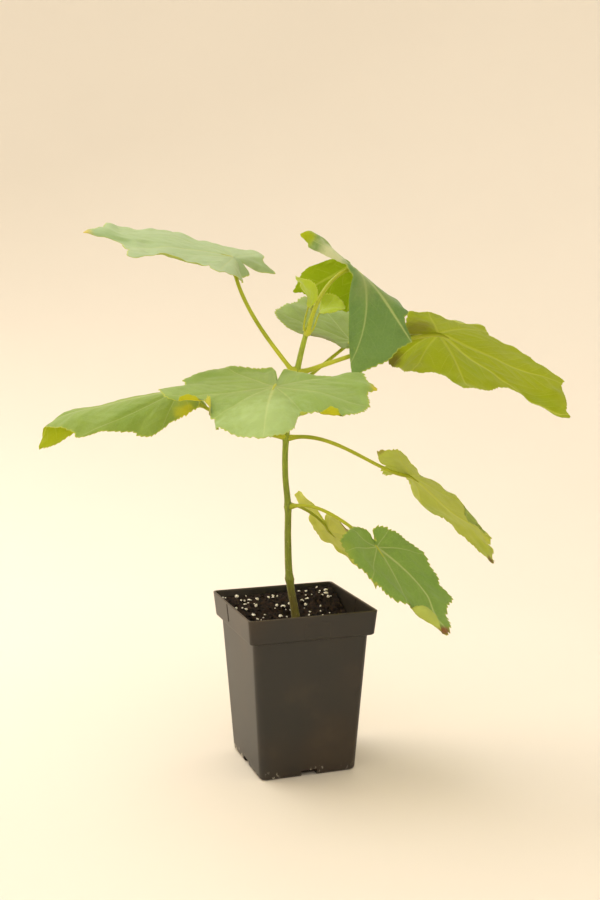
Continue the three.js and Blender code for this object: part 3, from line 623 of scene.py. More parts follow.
# Leaf blades and their stalks, from the lowest to the youngest. Angles are in degrees. A heading is turned
# from +X towards +Y, pitch tips the point down and roll tips the left side down. Slopes and bends belong to
# the left base, left side, tip, right side and right base: the slope starts at the stalk and the bend is
# added evenly on the way to the margin, down when positive. An outline pairs a direction, left when positive,
# with the reach to the margin. A curl is a line's distance, the direction it lies in, a radius and a turn:
# over the upper side, or under if negative. A stalk is its height on the stem, the heading, rise and pull of
# its foot and of its end, and its radius at both.
leafShapes = {
    "lowBack": {
        "stalk": (203, (29, -11, 13), (9, -60, 13), (1.4, 1.1)),
        "at": (38, 21, 177), "heading": 4, "pitch": 50, "roll": 0,
        "slope": (7, 3, -10, -10, -14), "bend": (0, 9, 10, 4, -23),
        "outline": [
            (0, 67), (8, 54), (20, 46), (32, 42), (41, 34), (52, 27), (88, 23), (131, 23), (136, 32),
            (147, 40), (157, 40), (170, 34), (180, 8), (-168, 14), (-150, 18), (-103, 30), (-70, 40),
            (-46, 50), (-32, 56), (-16, 54),
        ],
    },
    "lowFront": {
        "stalk": (202, (-45, 20, 25), (-47, -35, 16), (1.6, 1.2)),
        "at": (46.9, -56.4, 177.9), "heading": -58, "pitch": 47, "roll": -1,
        "slope": (-13, -8, 1, -6, -2), "bend": (-31, 1, -13, -1, -9),
        "outline": [
            (0, 84), (7, 79), (11, 72), (20, 67), (29, 69), (31, 64), (35, 56), (44, 52), (53, 46),
            (66, 43), (74, 39), (87, 32), (98, 27), (116, 20), (150, 17), (172, 14), (180, 3),
            (-174, 10), (-159, 17), (-141, 24), (-123, 31), (-111, 37), (-103, 37), (-85, 33),
            (-60, 33), (-39, 38), (-23, 48), (-16, 52), (-12, 53), (-10, 59), (-4, 74), (-3, 80),
        ],
        "curls": [(24, -72, 5, -100)],
    },
    "middleRight": {
        "stalk": (255, (-2, 8, 37), (-2, -6, 27), (1.8, 1.3)),
        "at": (96.6, -3.8, 222.2), "heading": -11, "pitch": 35, "roll": 14,
        "slope": (21, 13, 3, -11, -4), "bend": (21, -10, 16, 25, 5),
        "outline": [
            (0, 100), (5, 95), (11, 74), (22, 62), (28, 55), (37, 48), (52, 40), (65, 27), (96, 16),
            (120, 20), (152, 22), (167, 24), (180, 6), (-172, 26), (-166, 31), (-154, 42), (-139, 40),
            (-125, 44), (-119, 35), (-106, 31), (-92, 29), (-79, 35), (-68, 41), (-59, 45), (-40, 48),
            (-31, 67), (-29, 74), (-25, 79), (-13, 83), (-6, 92),
        ],
    },
    "middleLeft": {
        "stalk": (256, (167, 8, 30), (158, 32, 18), (1.8, 1.3)),
        "at": (-82.9, 18.1, 291.5), "heading": 159, "pitch": -8, "roll": 9,
        "slope": (21, 31, 17, 30, 20), "bend": (24, 32, 10, 20, 20),
        "outline": [
            (0, 126), (4, 108), (14, 92), (19, 86), (24, 86), (27, 77), (29, 69), (36, 59), (47, 49),
            (50, 51), (64, 46), (70, 40), (82, 30), (109, 24), (140, 20), (168, 16), (180, 5),
            (-168, 24), (-144, 34), (-112, 36), (-102, 37), (-85, 47), (-62, 56), (-42, 60), (-26, 76),
            (-14, 102), (-7, 119), (-4, 124),
        ],
        "curls": [(70, -42, 8, -62)],
    },
    "front": {
        "stalk": (294, (-121, 15, 22), (-116, -11, 17), (2, 1.4)),
        "at": (-33.3, -57.3, 299.7), "heading": -116, "pitch": 11, "roll": -2,
        "slope": (-2, -6, -4, -4, -5), "bend": (-1, 36, 32, 8, -6),
        "outline": [
            (0, 73), (5, 72), (14, 68), (20, 63), (25, 53), (27, 48), (39, 47), (48, 49), (58, 62),
            (65, 66), (85, 70), (98, 67), (101, 68), (104, 76), (111, 69), (119, 69), (124, 46),
            (133, 39), (149, 32), (175, 33), (180, 12), (-176, 27), (-170, 40), (-149, 39), (-135, 46),
            (-125, 58), (-110, 63), (-101, 70), (-94, 64), (-91, 76), (-88, 83), (-73, 77), (-66, 64),
            (-60, 53), (-45, 60), (-33, 62), (-28, 69), (-14, 73),
        ],
    },
    "back": {
        "stalk": (295, (27, 27, 24), (50, 8, 16), (1.7, 1.3)),
        "at": (58.9, 27.3, 327.2), "heading": 65, "pitch": -23, "roll": -11,
        "slope": (-10, -10, -11, -16, 0), "bend": (-10, 5, 30, 4, 10),
        "outline": [
            (0, 84), (14, 66), (26, 74), (31, 80), (35, 80), (44, 73), (60, 67), (81, 66), (109, 53),
            (114, 46), (121, 37), (142, 28), (163, 26), (169, 17), (180, 6), (-166, 24), (-146, 30),
            (-122, 34), (-98, 40), (-80, 48), (-60, 46), (-42, 54), (-26, 62), (-14, 64),
        ],
    },
    "upperRight": {
        "stalk": (305, (-12, 18, 38), (-11, 0, 25), (2.1, 1.5)),
        "at": (112.2, -19.8, 334.2), "heading": -13, "pitch": 12, "roll": 27,
        "slope": (16, 1, 25, 8, 0), "bend": (39, 13, 1, 23, 6),
        "outline": [
            (0, 121), (2, 114), (3, 99), (6, 83), (13, 71), (21, 67), (36, 70), (44, 69), (57, 74),
            (60, 65), (66, 59), (73, 55), (88, 57), (98, 53), (123, 43), (146, 46), (160, 43),
            (172, 30), (180, 6), (-172, 33), (-164, 35), (-156, 33), (-144, 39), (-135, 45),
            (-124, 44), (-110, 47), (-99, 52), (-90, 72), (-80, 75), (-62, 57), (-55, 61), (-46, 76),
            (-36, 83), (-32, 93), (-28, 107), (-25, 104), (-17, 106), (-12, 110), (-4, 114),
        ],
    },
    "upperLeft": {
        "stalk": (307, (175, 52, 35), (150, 85, 30), (1.9, 1.4)),
        "at": (-42.4, 14.7, 392), "heading": 168, "pitch": -16, "roll": 19,
        "slope": (14, -4, 3, 3, -5), "bend": (50, -6, 9, 18, 11),
        "outline": [
            (0, 114), (1, 107), (3, 90), (10, 83), (31, 87), (43, 102), (44, 92), (47, 79), (53, 76),
            (67, 67), (71, 54), (75, 64), (81, 67), (89, 55), (97, 41), (110, 31), (133, 19),
            (166, 19), (180, 5), (-169, 26), (-165, 30), (-161, 39), (-151, 28), (-145, 28),
            (-115, 48), (-88, 69), (-81, 65), (-66, 73), (-59, 82), (-31, 89), (-26, 99), (-24, 107),
            (-11, 104), (-4, 106),
        ],
    },
    "crown": {
        "stalk": (335, (-85, 73, 26), (0, 0, 16), (1.8, 1.4)),
        "at": (49.7, -1.6, 384), "heading": -27, "pitch": 40, "roll": 0,
        "slope": (0, 0, 0, 0, 0), "bend": (0, 0, 0, 0, 0),
        "outline": [
            (0, 57), (8, 46), (30, 28), (50, 36), (63, 43), (86, 48), (100, 53), (112, 58), (115, 66),
            (118, 61), (123, 56), (127, 52), (131, 46), (134, 36), (142, 19), (150, 7), (165, 6),
            (174, 8), (179, 38), (-178, 41), (-163, 50), (-159, 42), (-154, 40), (-152, 31),
            (-142, 18), (-125, 10), (-73, 12), (-61, 40), (-56, 68), (-53, 89), (-48, 84), (-40, 80),
            (-34, 79), (-26, 73), (-16, 73), (-14, 60), (-11, 54), (-5, 54),
        ],
        "curls": [(3, -90, 7, -80), (5, 90, 9, -75)],
    },
    "youngLeft": {
        "stalk": (337, (-148, 68, 7), (100, 80, 6), (0.9, 0.6)),
        "at": (7.9, -16.3, 360.2), "heading": 145, "pitch": -75, "roll": 3,
        "slope": (25, 13, 10, 1, 25), "bend": (0, -32, 18, -38, 0),
        "outline": [
            (0, 21), (20, 14), (40, 15), (63, 10), (110, 8), (150, 7), (180, 2), (-150, 7), (-110, 9),
            (-74, 12), (-51, 18), (-23, 18),
        ],
    },
    "youngRight": {
        "stalk": (335, (-12, 40, 7), (-28, 16, 6), (0.9, 0.6)),
        "at": (24.1, -0.4, 352.2), "heading": -29, "pitch": -21, "roll": -14,
        "slope": (25, -40, 4, 30, 25), "bend": (0, -28, 32, 22, 0),
        "outline": [
            (0, 17), (35, 17), (49, 17), (71, 15), (110, 8), (150, 4), (180, 2), (-150, 3), (-110, 5),
            (-61, 7), (-17, 12),
        ],
    },
}

# How finely the blades are made, and the size of what shows on them. Zones are shares of the way out.
blade = {
    "rings": 52, "ribSteps": 16, "foldLength": 8.0, "cornerSoftness": 0.55, "halfThickness": 0.26,
    "toothSpacing": 4.4, "toothDepth": 1.5, "toothZone": 0.12, "thinZone": 0.06, "calmZone": 0.2,
    "lateralSpacing": 11.5, "lateralLean": 0.9, "lateralBow": 0.006, "valley": 0.4, "valleyWidth": 2.6,
    "quilt": 0.16, "wave": 0.9, "waveLength": 46.0, "frill": 0.5, "frillLength": 17.0, "mapSize": 260.0,
}


# A value eased round the blade between its left base, left side, tip, right side and right base.
def aroundBlade(values, angle):
    leftBase, leftSide, tip, rightSide, rightBase = values
    back = (leftBase + rightBase) / 2
    stops = np.array([-180.0, -140, -80, 0, 80, 140, 180])
    levels = np.array([back, rightBase, rightSide, tip, leftSide, leftBase, back])
    i = np.clip(np.searchsorted(stops, angle, side="right") - 1, 0, 5)
    share = eased((angle - stops[i]) / (stops[i + 1] - stops[i]))
    return levels[i] + (levels[i + 1] - levels[i]) * share


# The blade's own axes: towards the tip, to the left and up out of the upper side.
def bladeAxes(leaf):
    tip = direction(leaf["heading"], -leaf["pitch"])
    level = direction(leaf["heading"] + 90, 0)
    up = np.cross(tip, level)
    r = math.radians(leaf["roll"])
    return tip, level * math.cos(r) - up * math.sin(r), up * math.cos(r) + level * math.sin(r)


# The margin's reach at every quarter degree: straight between the outline's points, its corners softened.
def marginTable(leaf):
    outline = sorted(leaf["outline"])
    angles = np.array([-180.0] + [a for a, _ in outline])
    reaches = np.array([outline[-1][1]] + [r for _, r in outline], float)
    spacing, half = 0.25, 24
    fine = np.arange(-180, 180, spacing)
    raw = np.interp(fine, angles, reaches)
    weights = np.exp(-(np.arange(-half, half + 1) * spacing / blade["cornerSoftness"]) ** 2 / 2)
    padded = np.concatenate([raw[-half:], raw, raw[:half]])
    return fine, np.convolve(padded, weights / weights.sum(), mode="valid")


# What lies past a line winds round a radius, as far as the full turn, and goes straight on from there.
# Returns the turn reached and what is left over.
def windRound(past, radius, full):
    return np.minimum(past / radius, full), np.maximum(past - radius * full, 0.0)


# Points of the flat blade rolled round each curl line that they lie past. Returns them and their lift.
def rollBlade(x, y, lift, curls):
    for at, toward, radius, turn in curls:
        nx, ny = math.cos(math.radians(toward)), math.sin(math.radians(toward))
        past = np.maximum(x * nx + y * ny - at, 0.0)
        side = math.copysign(1, turn)
        bent, rest = windRound(past, radius, abs(math.radians(turn)))
        arm = radius - side * lift
        shift = np.where(past > 0, arm * np.sin(bent) + rest * np.cos(bent) - past, 0.0)
        lift = np.where(past > 0, side * (radius - arm * np.cos(bent) + rest * np.sin(bent)), lift)
        x, y = x + shift * nx, y + shift * ny
    return x, y, lift


# Bits of margin that turn over. Past the chord of a short piece of margin the blade is first drawn out, most
# in the middle of the chord by 1 - (way along it / half its length) squared, and what then lies past the
# chord winds round a small radius, over the upper side, or under it if the turn is negative. Returns the
# moved points and their lift.
def turnMargin(x, y, margin, turnovers):
    lift = np.zeros_like(x)
    for first, last, depth, radius, turn in turnovers:
        ends = np.array([first, last])
        reaches = np.interp(ends, margin[0], margin[1], period=360)
        corners = np.stack([reaches * np.cos(np.radians(ends)), reaches * np.sin(np.radians(ends))], axis=-1)
        tx, ty = unit(corners[1] - corners[0])
        half = np.hypot(*(corners[1] - corners[0])) / 2
        cx, cy = corners.mean(axis=0)
        along = ((x - cx) * tx + (y - cy) * ty) / half
        beyond = (x - cx) * ty - (y - cy) * tx
        window = np.maximum(1 - along ** 2, 0.0)
        drawn = beyond + depth * window * eased(1 + beyond / (3 * depth))
        easing = 2 * depth * np.maximum(np.abs(along) - 0.9, 0.0)
        past = np.where(np.abs(along) < 2, np.maximum(drawn - easing, 0.0), 0.0)
        bent, rest = windRound(past, radius, abs(math.radians(turn)))
        shift = drawn - beyond - past + radius * np.sin(bent) + rest * np.cos(bent)
        x, y = x + shift * ty, y - shift * tx
        lift = lift + math.copysign(1, turn) * (radius * (1 - np.cos(bent)) + rest * np.sin(bent))
    return x, y, lift


# The middle surface: a rib runs out from the stalk in each direction. Its slope starts within a few
# millimetres and its bend grows evenly to the margin, so the height is the running sum of the sine of that
# angle along it.
def bladeSurface(leaf, axes, margin, x, y):
    tip, left, up = axes
    x, y, lift = turnMargin(x, y, margin, leaf["turnovers"])
    x, y, lift = rollBlade(x, y, lift, leaf["curls"])
    run = np.hypot(x, y)
    heading = np.degrees(np.arctan2(y, x))
    reach = np.interp(heading, margin[0], margin[1], period=360)
    slope, bend = aroundBlade(leaf["slope"], heading), aroundBlade(leaf["bend"], heading)
    across, down = np.zeros_like(x), np.zeros_like(x)
    for step in range(blade["ribSteps"]):
        along = run * (step + 0.5) / blade["ribSteps"]
        dip = np.radians(slope * np.tanh(along / blade["foldLength"]) + bend * along / reach)
        across += np.cos(dip) * run / blade["ribSteps"]
        down += np.sin(dip) * run / blade["ribSteps"]
    turn = np.radians(heading)
    out = np.cos(turn)[..., None] * tip + np.sin(turn)[..., None] * left
    return (np.array(leaf["at"]) + out * (across + lift * np.sin(dip))[..., None]
            + up * (lift * np.cos(dip) - down)[..., None])


# The middle surface's normals, from how it changes over a short step each way.
def bladeNormals(leaf, axes, margin, x, y):
    step = 0.4
    alongX = bladeSurface(leaf, axes, margin, x + step, y) - bladeSurface(leaf, axes, margin, x - step, y)
    alongY = bladeSurface(leaf, axes, margin, x, y + step) - bladeSurface(leaf, axes, margin, x, y - step)
    return unit(np.cross(alongX, alongY))


# Where the nearest main vein lies: the way along it and the way across to it. Each vein leaves the stalk in
# its own direction and turns evenly on the way out; both are listed, the turn as degrees in each 60 mm.
def nearestVein(veins, x, y):
    run, heading = np.hypot(x, y), np.degrees(np.arctan2(y, x))
    gaps = [np.abs((heading - angle - turn * run / 60 + 180) % 360 - 180) for angle, turn in veins]
    nearest = np.radians(np.minimum(np.min(gaps, axis=0), 90))
    return run * np.cos(nearest), run * np.sin(nearest)


# The margin's columns: teeth of uneven width from the tip back on both sides, each with a column at its
# notch, at its point near the tip side, and half way down its back. Returns the directions and how far each
# column stands out. The teeth fade out in the last degrees before the stalk.
def toothColumns(name, leaf, margin):
    small = leaf["small"]
    source = np.random.default_rng(sum(map(ord, name)))
    halves = []
    for side in (1, -1):
        angles = np.linspace(0, 180, 721)
        reach = np.interp(side * angles, margin[0], margin[1], period=360)
        walked = np.concatenate([[0.0], np.cumsum(np.hypot(np.diff(reach), np.radians(0.25) * reach[1:]))])
        count = max(int(walked[-1] / (blade["toothSpacing"] * small)), 6)
        widths = source.uniform(0.6, 1.4, count)
        notches = np.concatenate([[0.0], np.cumsum(widths)]) / widths.sum() * walked[-1]
        size = widths * source.uniform(0.35, 1.15, count)
        start, width = notches[:-1], np.diff(notches)
        marks = np.stack([start, start + 0.3 * width, start + 0.65 * width], axis=-1).ravel()
        stand = np.stack([np.full(count, -0.35), 0.75 * size, 0.25 * size], axis=-1).ravel()
        turned = np.interp(marks, walked, angles)
        halves.append((side * turned, stand * eased((170 - turned) / 14)))
    left, right = halves
    angles, stand = (np.concatenate([right[part][:0:-1], left[part]]) for part in (0, 1))
    stand[len(right[0]) - 1] = 0.4
    return angles, stand * blade["toothDepth"] * small * leaf["teeth"]


# How far the blade lies above its middle surface: soft waves and a frilled margin, less the quilting between
# the side veins and the valleys along the main ones.
def bladeSway(name, leaf, x, y, share):
    small, seed = leaf["small"], sum(map(ord, name))
    along, across = nearestVein(leaf["veins"], x, y)
    leaning = along - blade["lateralLean"] * across - blade["lateralBow"] * across ** 2
    phase = leaning / (blade["lateralSpacing"] * small)
    inside = eased((1 - share) / blade["calmZone"])
    valley = np.exp(-(across / (blade["valleyWidth"] * small)) ** 2) * inside * eased(share / 0.08)
    quilt = np.cos(2 * np.pi * phase) * eased(across / 7.0) * inside
    waves = softField(x, y, seed, blade["waveLength"] * small) * eased(share * 1.1) * leaf["wave"]
    frill = softField(x, y, seed + 1, blade["frillLength"] * small) * eased((share - 0.6) / 0.4)
    frill = frill * leaf["frill"]
    sunk = blade["quilt"] * quilt + blade["valley"] * valley
    return small * (blade["wave"] * waves - sunk + blade["frill"] * frill)


# One blade: rings about the stalk with columns spaced evenly along the margin, once for the upper side and
# once for the under side, each moved out along the surface's normal by its relief, and closed round the
# margin.
def makeBlade(name, leaf):
    rings = int(blade["rings"] * leaf["fineness"])
    axes, margin = bladeAxes(leaf), marginTable(leaf)
    angles, toothed = toothColumns(name, leaf, margin)
    columns = len(angles)
    reach = np.interp(angles, margin[0], margin[1], period=360)
    share = 1 - (1 - np.linspace(0, 1, rings + 1)[1:, None]) ** 1.15
    zone = blade["toothZone"]
    radius = share * reach + toothed * eased((share - (1 - zone)) / zone)
    turn = np.radians(angles)
    x = np.concatenate([[0.0], (radius * np.cos(turn)).ravel()])
    y = np.concatenate([[0.0], (radius * np.sin(turn)).ravel()])
    reachAll = np.concatenate([[reach.mean()], np.broadcast_to(reach, radius.shape).ravel()])
    shareAll = np.concatenate([[0.0], np.broadcast_to(share, radius.shape).ravel()])
    middle = bladeSurface(leaf, axes, margin, x, y)
    normal = bladeNormals(leaf, axes, margin, x, y)
    normal[0] = axes[2]
    sway = bladeSway(name, leaf, x, y, shareAll)
    half = blade["halfThickness"] * (0.5 + 0.5 * eased((1 - shareAll) / blade["thinZone"]))
    half = half * max(leaf["small"], 0.6)
    points = np.concatenate([middle + normal * relief[:, None] for relief in (sway + half, sway - half)])
    total = len(x)
    fan, sheet = fanFaces(1, columns, 0), ringFaces(rings, columns, 1)
    outer = 1 + (rings - 1) * columns
    here, following = outer + np.arange(columns), outer + (np.arange(columns) + 1) % columns
    rim = np.stack([here, here + total, following + total, following], axis=-1)
    faces = [fan, sheet[:, [0, 3, 2, 1]], fan[:, ::-1] + total, sheet + total, rim]
    upperCount = len(fan) + len(sheet)
    faceMaterial = np.repeat([0, 1], [upperCount, upperCount + len(rim)])
    inward = (1 - shareAll) * reachAll
    flatMap = np.stack([x, y], axis=-1) / blade["mapSize"] + 0.5
    materials = [leafMaterial(name + capital(side), leaf, side) for side in ("upper", "under")]
    piece = meshPiece("blade" + capital(name), points, faces, materials, {"inward": np.tile(inward, 2)},
                      np.tile(flatMap, (2, 1)), faceMaterial)
    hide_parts("leaf_" + solidName(name))
    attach(piece, "root")


# Looks of each blade: screen colours of the upper and under sides and of the light that comes through, how
# wavy and how toothed it is, the main veins' directions and turns, and the bits of margin that turn over,
# each from one direction to another with a depth, a radius and a turn. A patch is (x, y, radius, colour,
# strength) in the flat blade; some patches are the leaf's own tints, and others are painted shadow and painted
# sheen. A leaf that doesn't say otherwise is as plainLeaf says. Small is its size beside a grown leaf, for all
# that is given in millimetres.
plainLeaf = {
    "small": 1.0, "fineness": 1.0, "wave": 1.0, "frill": 1.0, "teeth": 1.0, "veinWidth": 1.0,
    "turnovers": (), "curls": (), "patches": (),
}
youngLook = {"wave": 1.6, "teeth": 1.8, "veins": ((0, 0), (45, 0), (-45, 0)), "small": 0.35, "fineness": 0.4}
leafLooks = {
    "lowBack": {
        "upper": (176, 180, 84), "under": (226, 230, 126), "through": (234, 240, 110),
        "wave": 2.0, "frill": 2.2, "teeth": 0.6,
        "veins": ((0, 0), (34, -6), (-38, 6), (84, 0), (-84, 0), (142, 0), (-140, 0)),
        "patches": ((-6, -30, 6, (150, 104, 56), 0.6), (58, 6, 10, (214, 222, 90), 0.7)),
    },
    "lowFront": {
        "upper": (132, 164, 82), "under": (232, 244, 120), "through": (180, 206, 60),
        "wave": 1.1, "teeth": 1.35, "veinWidth": 1.5,
        "veins": ((34, -24), (4, -22), (74, -14), (-52, 4), (-96, 0), (118, 0), (-128, 0)),
        "turnovers": ((-13.5, -1.5, 9.0, 1.3, 160),),
        "patches": ((80, 1, 5, (150, 92, 44), 0.9), (-2, -38, 9, (168, 190, 60), 0.5)),
    },
    "middleRight": {
        "upper": (150, 172, 88), "under": (218, 226, 116), "through": (222, 232, 100),
        "wave": 1.9, "frill": 1.7, "teeth": 1.25, "veinWidth": 1.6,
        "veins": ((12, -22), (44, -10), (-40, 6), (84, 0), (-84, 0), (128, 0), (-132, 0)),
        "turnovers": ((-38, -26, 5.0, 1.3, -150),),
        "patches": ((97, 0, 4, (128, 70, 40), 0.8), (-38, -20, 4, (150, 110, 60), 0.45)),
    },
    "middleLeft": {
        "upper": (136, 166, 84), "under": (194, 202, 34), "through": (210, 222, 20),
        "teeth": 0.9,
        "veins": ((2, 0), (38, -10), (-36, 8), (76, -6), (-76, 0), (122, 0), (-122, 0)),
        "patches": ((-8, 20, 9, (222, 220, 50), 0.8),),
    },
    "front": {
        "upper": (140, 176, 102), "under": (236, 228, 40), "through": (212, 222, 36),
        "wave": 0.9, "veinWidth": 1.5,
        "veins": ((1, 0), (55, 26), (-58, -14), (28, 6), (-30, -6), (124, 0), (-128, 0)),
        "turnovers": ((46, 58, 6.0, 1.1, 150), (27, 38, 4.0, 0.9, 150), (-69, -60, 5.0, 1.1, 150),
                      (-34, -26, 4.0, 1.4, -150)),
        # The first patch is a painted highlight: a pale, bluish sheen over the near half of the blade.
        "patches": ((56, 0, 36, (200, 222, 158), 0.6), (-18, 73, 6, (214, 206, 40), 1.0)),
    },
    "back": {
        "upper": (154, 176, 94), "under": (166, 176, 40), "through": (176, 200, 24),
        "teeth": 1.25,
        "veins": ((0, 0), (36, -6), (-36, 6), (80, 0), (-80, 0), (130, 0), (-130, 0)),
        "patches": ((-20, 26, 16, (140, 132, 58), 0.55),),
    },
    "upperRight": {
        "upper": (158, 168, 70), "under": (186, 200, 30), "through": (204, 218, 16),
        "wave": 1.1, "teeth": 0.55, "veinWidth": 1.7,
        "veins": ((22, -12), (-10, -9), (-70, 0), (50, 0), (96, 0), (-116, 0), (140, 0)),
        # The first patch is painted shadow: the crown's shade, brownish, over the blade beside its stalk.
        "patches": ((-20, -5, 15, (132, 118, 60), 0.5), (-34, 24, 9, (110, 90, 50), 0.7)),
    },
    "upperLeft": {
        "upper": (172, 198, 154), "under": (186, 194, 80), "through": (200, 212, 70),
        "teeth": 0.4,
        "veins": ((6, 5), (40, -8), (-36, 8), (80, 0), (-78, 0), (128, 0), (-126, 0)),
        "patches": ((113, 0, 7, (222, 200, 60), 0.8),),
    },
    "crown": {
        "upper": (112, 146, 90), "under": (180, 202, 2), "through": (192, 218, 0),
        "wave": 0.7, "teeth": 0.6, "veinWidth": 1.7,
        "veins": ((-17, 0), (-30, -19), (40, -8), (112, 0), (70, 0), (-164, 0), (146, 0)),
        # Painted highlight: the pale patches at (-20, -10), (12, -5), (34, -4) and (18, -15) are sheen near
        # the fold. The yellow one at (-46, -11) is the leaf's own fresh tint.
        "patches": ((-20, -10, 15, (226, 228, 186), 0.85), (-46, -11, 10, (186, 200, 20), 1.0),
                    (12, -5, 10, (182, 192, 130), 0.4), (34, -4, 8, (182, 192, 130), 0.35),
                    (18, -15, 11, (160, 178, 108), 0.4)),
    },
    "youngLeft": youngLook | {"upper": (196, 214, 60), "under": (190, 206, 50), "through": (206, 222, 40)},
    "youngRight": youngLook | {"upper": (190, 210, 50), "under": (186, 204, 40), "through": (200, 220, 30)},
}
leafFinish = {
    "margin": (212, 216, 84), "roughness": 0.66, "gloss": 0.25, "sheen": 0.3, "bump": 0.35,
    "bumpDepth": 0.0005, "cell": 3.1, "mottle": 26.0,
}
# What the two sides have apart: the veins' colour, widths and strengths, the light that comes through the
# main veins and through the rest, and the relief of the swellings between small veins, of side veins and main
# veins.
leafSides = {
    "upper": {"pale": (206, 218, 140), "veinWidth": 1.2, "lateralWidth": 0.4, "net": 0.07, "lateral": 0.15,
              "vein": 0.74, "veinLight": 0.55, "glow": 0.36, "swell": 0.35, "lateralRise": -0.35,
              "veinRise": -0.5},
    "under": {"pale": (240, 244, 104), "veinWidth": 2.0, "lateralWidth": 0.6, "net": 0.1, "lateral": 0.34,
              "vein": 0.76, "veinLight": 0.95, "glow": 0.5, "swell": -0.35, "lateralRise": 0.9,
              "veinRise": 2.2},
}


def vectorNode(tree, operation, inputs, output=0):
    return addNode(tree, "ShaderNodeVectorMath", inputs, operation=operation).outputs[output]


# The nearest main vein found again from the flat map, as in the shape: the way along it, the way across to
# it, and the way across to the midrib, which is the first in the list.
def veinNodes(tree, flat, veins):
    place = vectorNode(tree, "SUBTRACT", {0: flat, 1: (0.5, 0.5, 0.0)})
    place = vectorNode(tree, "SCALE", {0: place, "Scale": blade["mapSize"]})
    parts = addNode(tree, "ShaderNodeSeparateXYZ", {0: place}).outputs
    run = vectorNode(tree, "LENGTH", {0: place}, "Value")
    heading = mathNode(tree, "ARCTAN2", parts[1], parts[0])
    gaps = []
    for angle, turn in veins:
        ahead = mathNode(tree, "MULTIPLY_ADD", run, math.radians(turn) / 60, math.radians(angle))
        gap = mathNode(tree, "WRAP", mathNode(tree, "SUBTRACT", heading, ahead), math.pi, -math.pi)
        gaps.append(mathNode(tree, "MINIMUM", mathNode(tree, "ABSOLUTE", gap), math.pi / 2))
    nearest = gaps[0]
    for gap in gaps[1:]:
        nearest = mathNode(tree, "MINIMUM", nearest, gap)
    along = times(tree, run, mathNode(tree, "COSINE", nearest))
    across, toMidrib = (times(tree, run, mathNode(tree, "SINE", gap)) for gap in (nearest, gaps[0]))
    return along, across, toMidrib


# A share that is 1 in the middle of a line and 0 past its width.
def lineNode(tree, distance, width):
    return rampNode(tree, mathNode(tree, "DIVIDE", distance, width), 1.0, 0.35)


# Side veins follow the same phase as the relief: along less the lean and the bow of across, over the spacing,
# shaken a little. They fade out near the margin and close to a main vein.
def lateralNode(tree, flat, along, across, inward, width, small):
    spacing = blade["lateralSpacing"] * small
    bow = times(tree, times(tree, across, across), -blade["lateralBow"])
    leaning = mathNode(tree, "MULTIPLY_ADD", across, -blade["lateralLean"], bow)
    shake = mathNode(tree, "MULTIPLY_ADD", noiseNode(tree, flat, 9.0, 1.0), 9.0, -4.5)
    shaken = mathNode(tree, "ADD", mathNode(tree, "ADD", along, leaning), shake)
    phase = mathNode(tree, "DIVIDE", shaken, spacing)
    toLine = mathNode(tree, "ABSOLUTE", mathNode(tree, "ADD", mathNode(tree, "FRACT", phase), -0.5))
    line = rampNode(tree, toLine, width / spacing, width / spacing * 0.2)
    line = times(tree, line, rampNode(tree, inward, 2.0 * small, 14.0 * small))
    return times(tree, line, rampNode(tree, across, 0.5, 3.0))


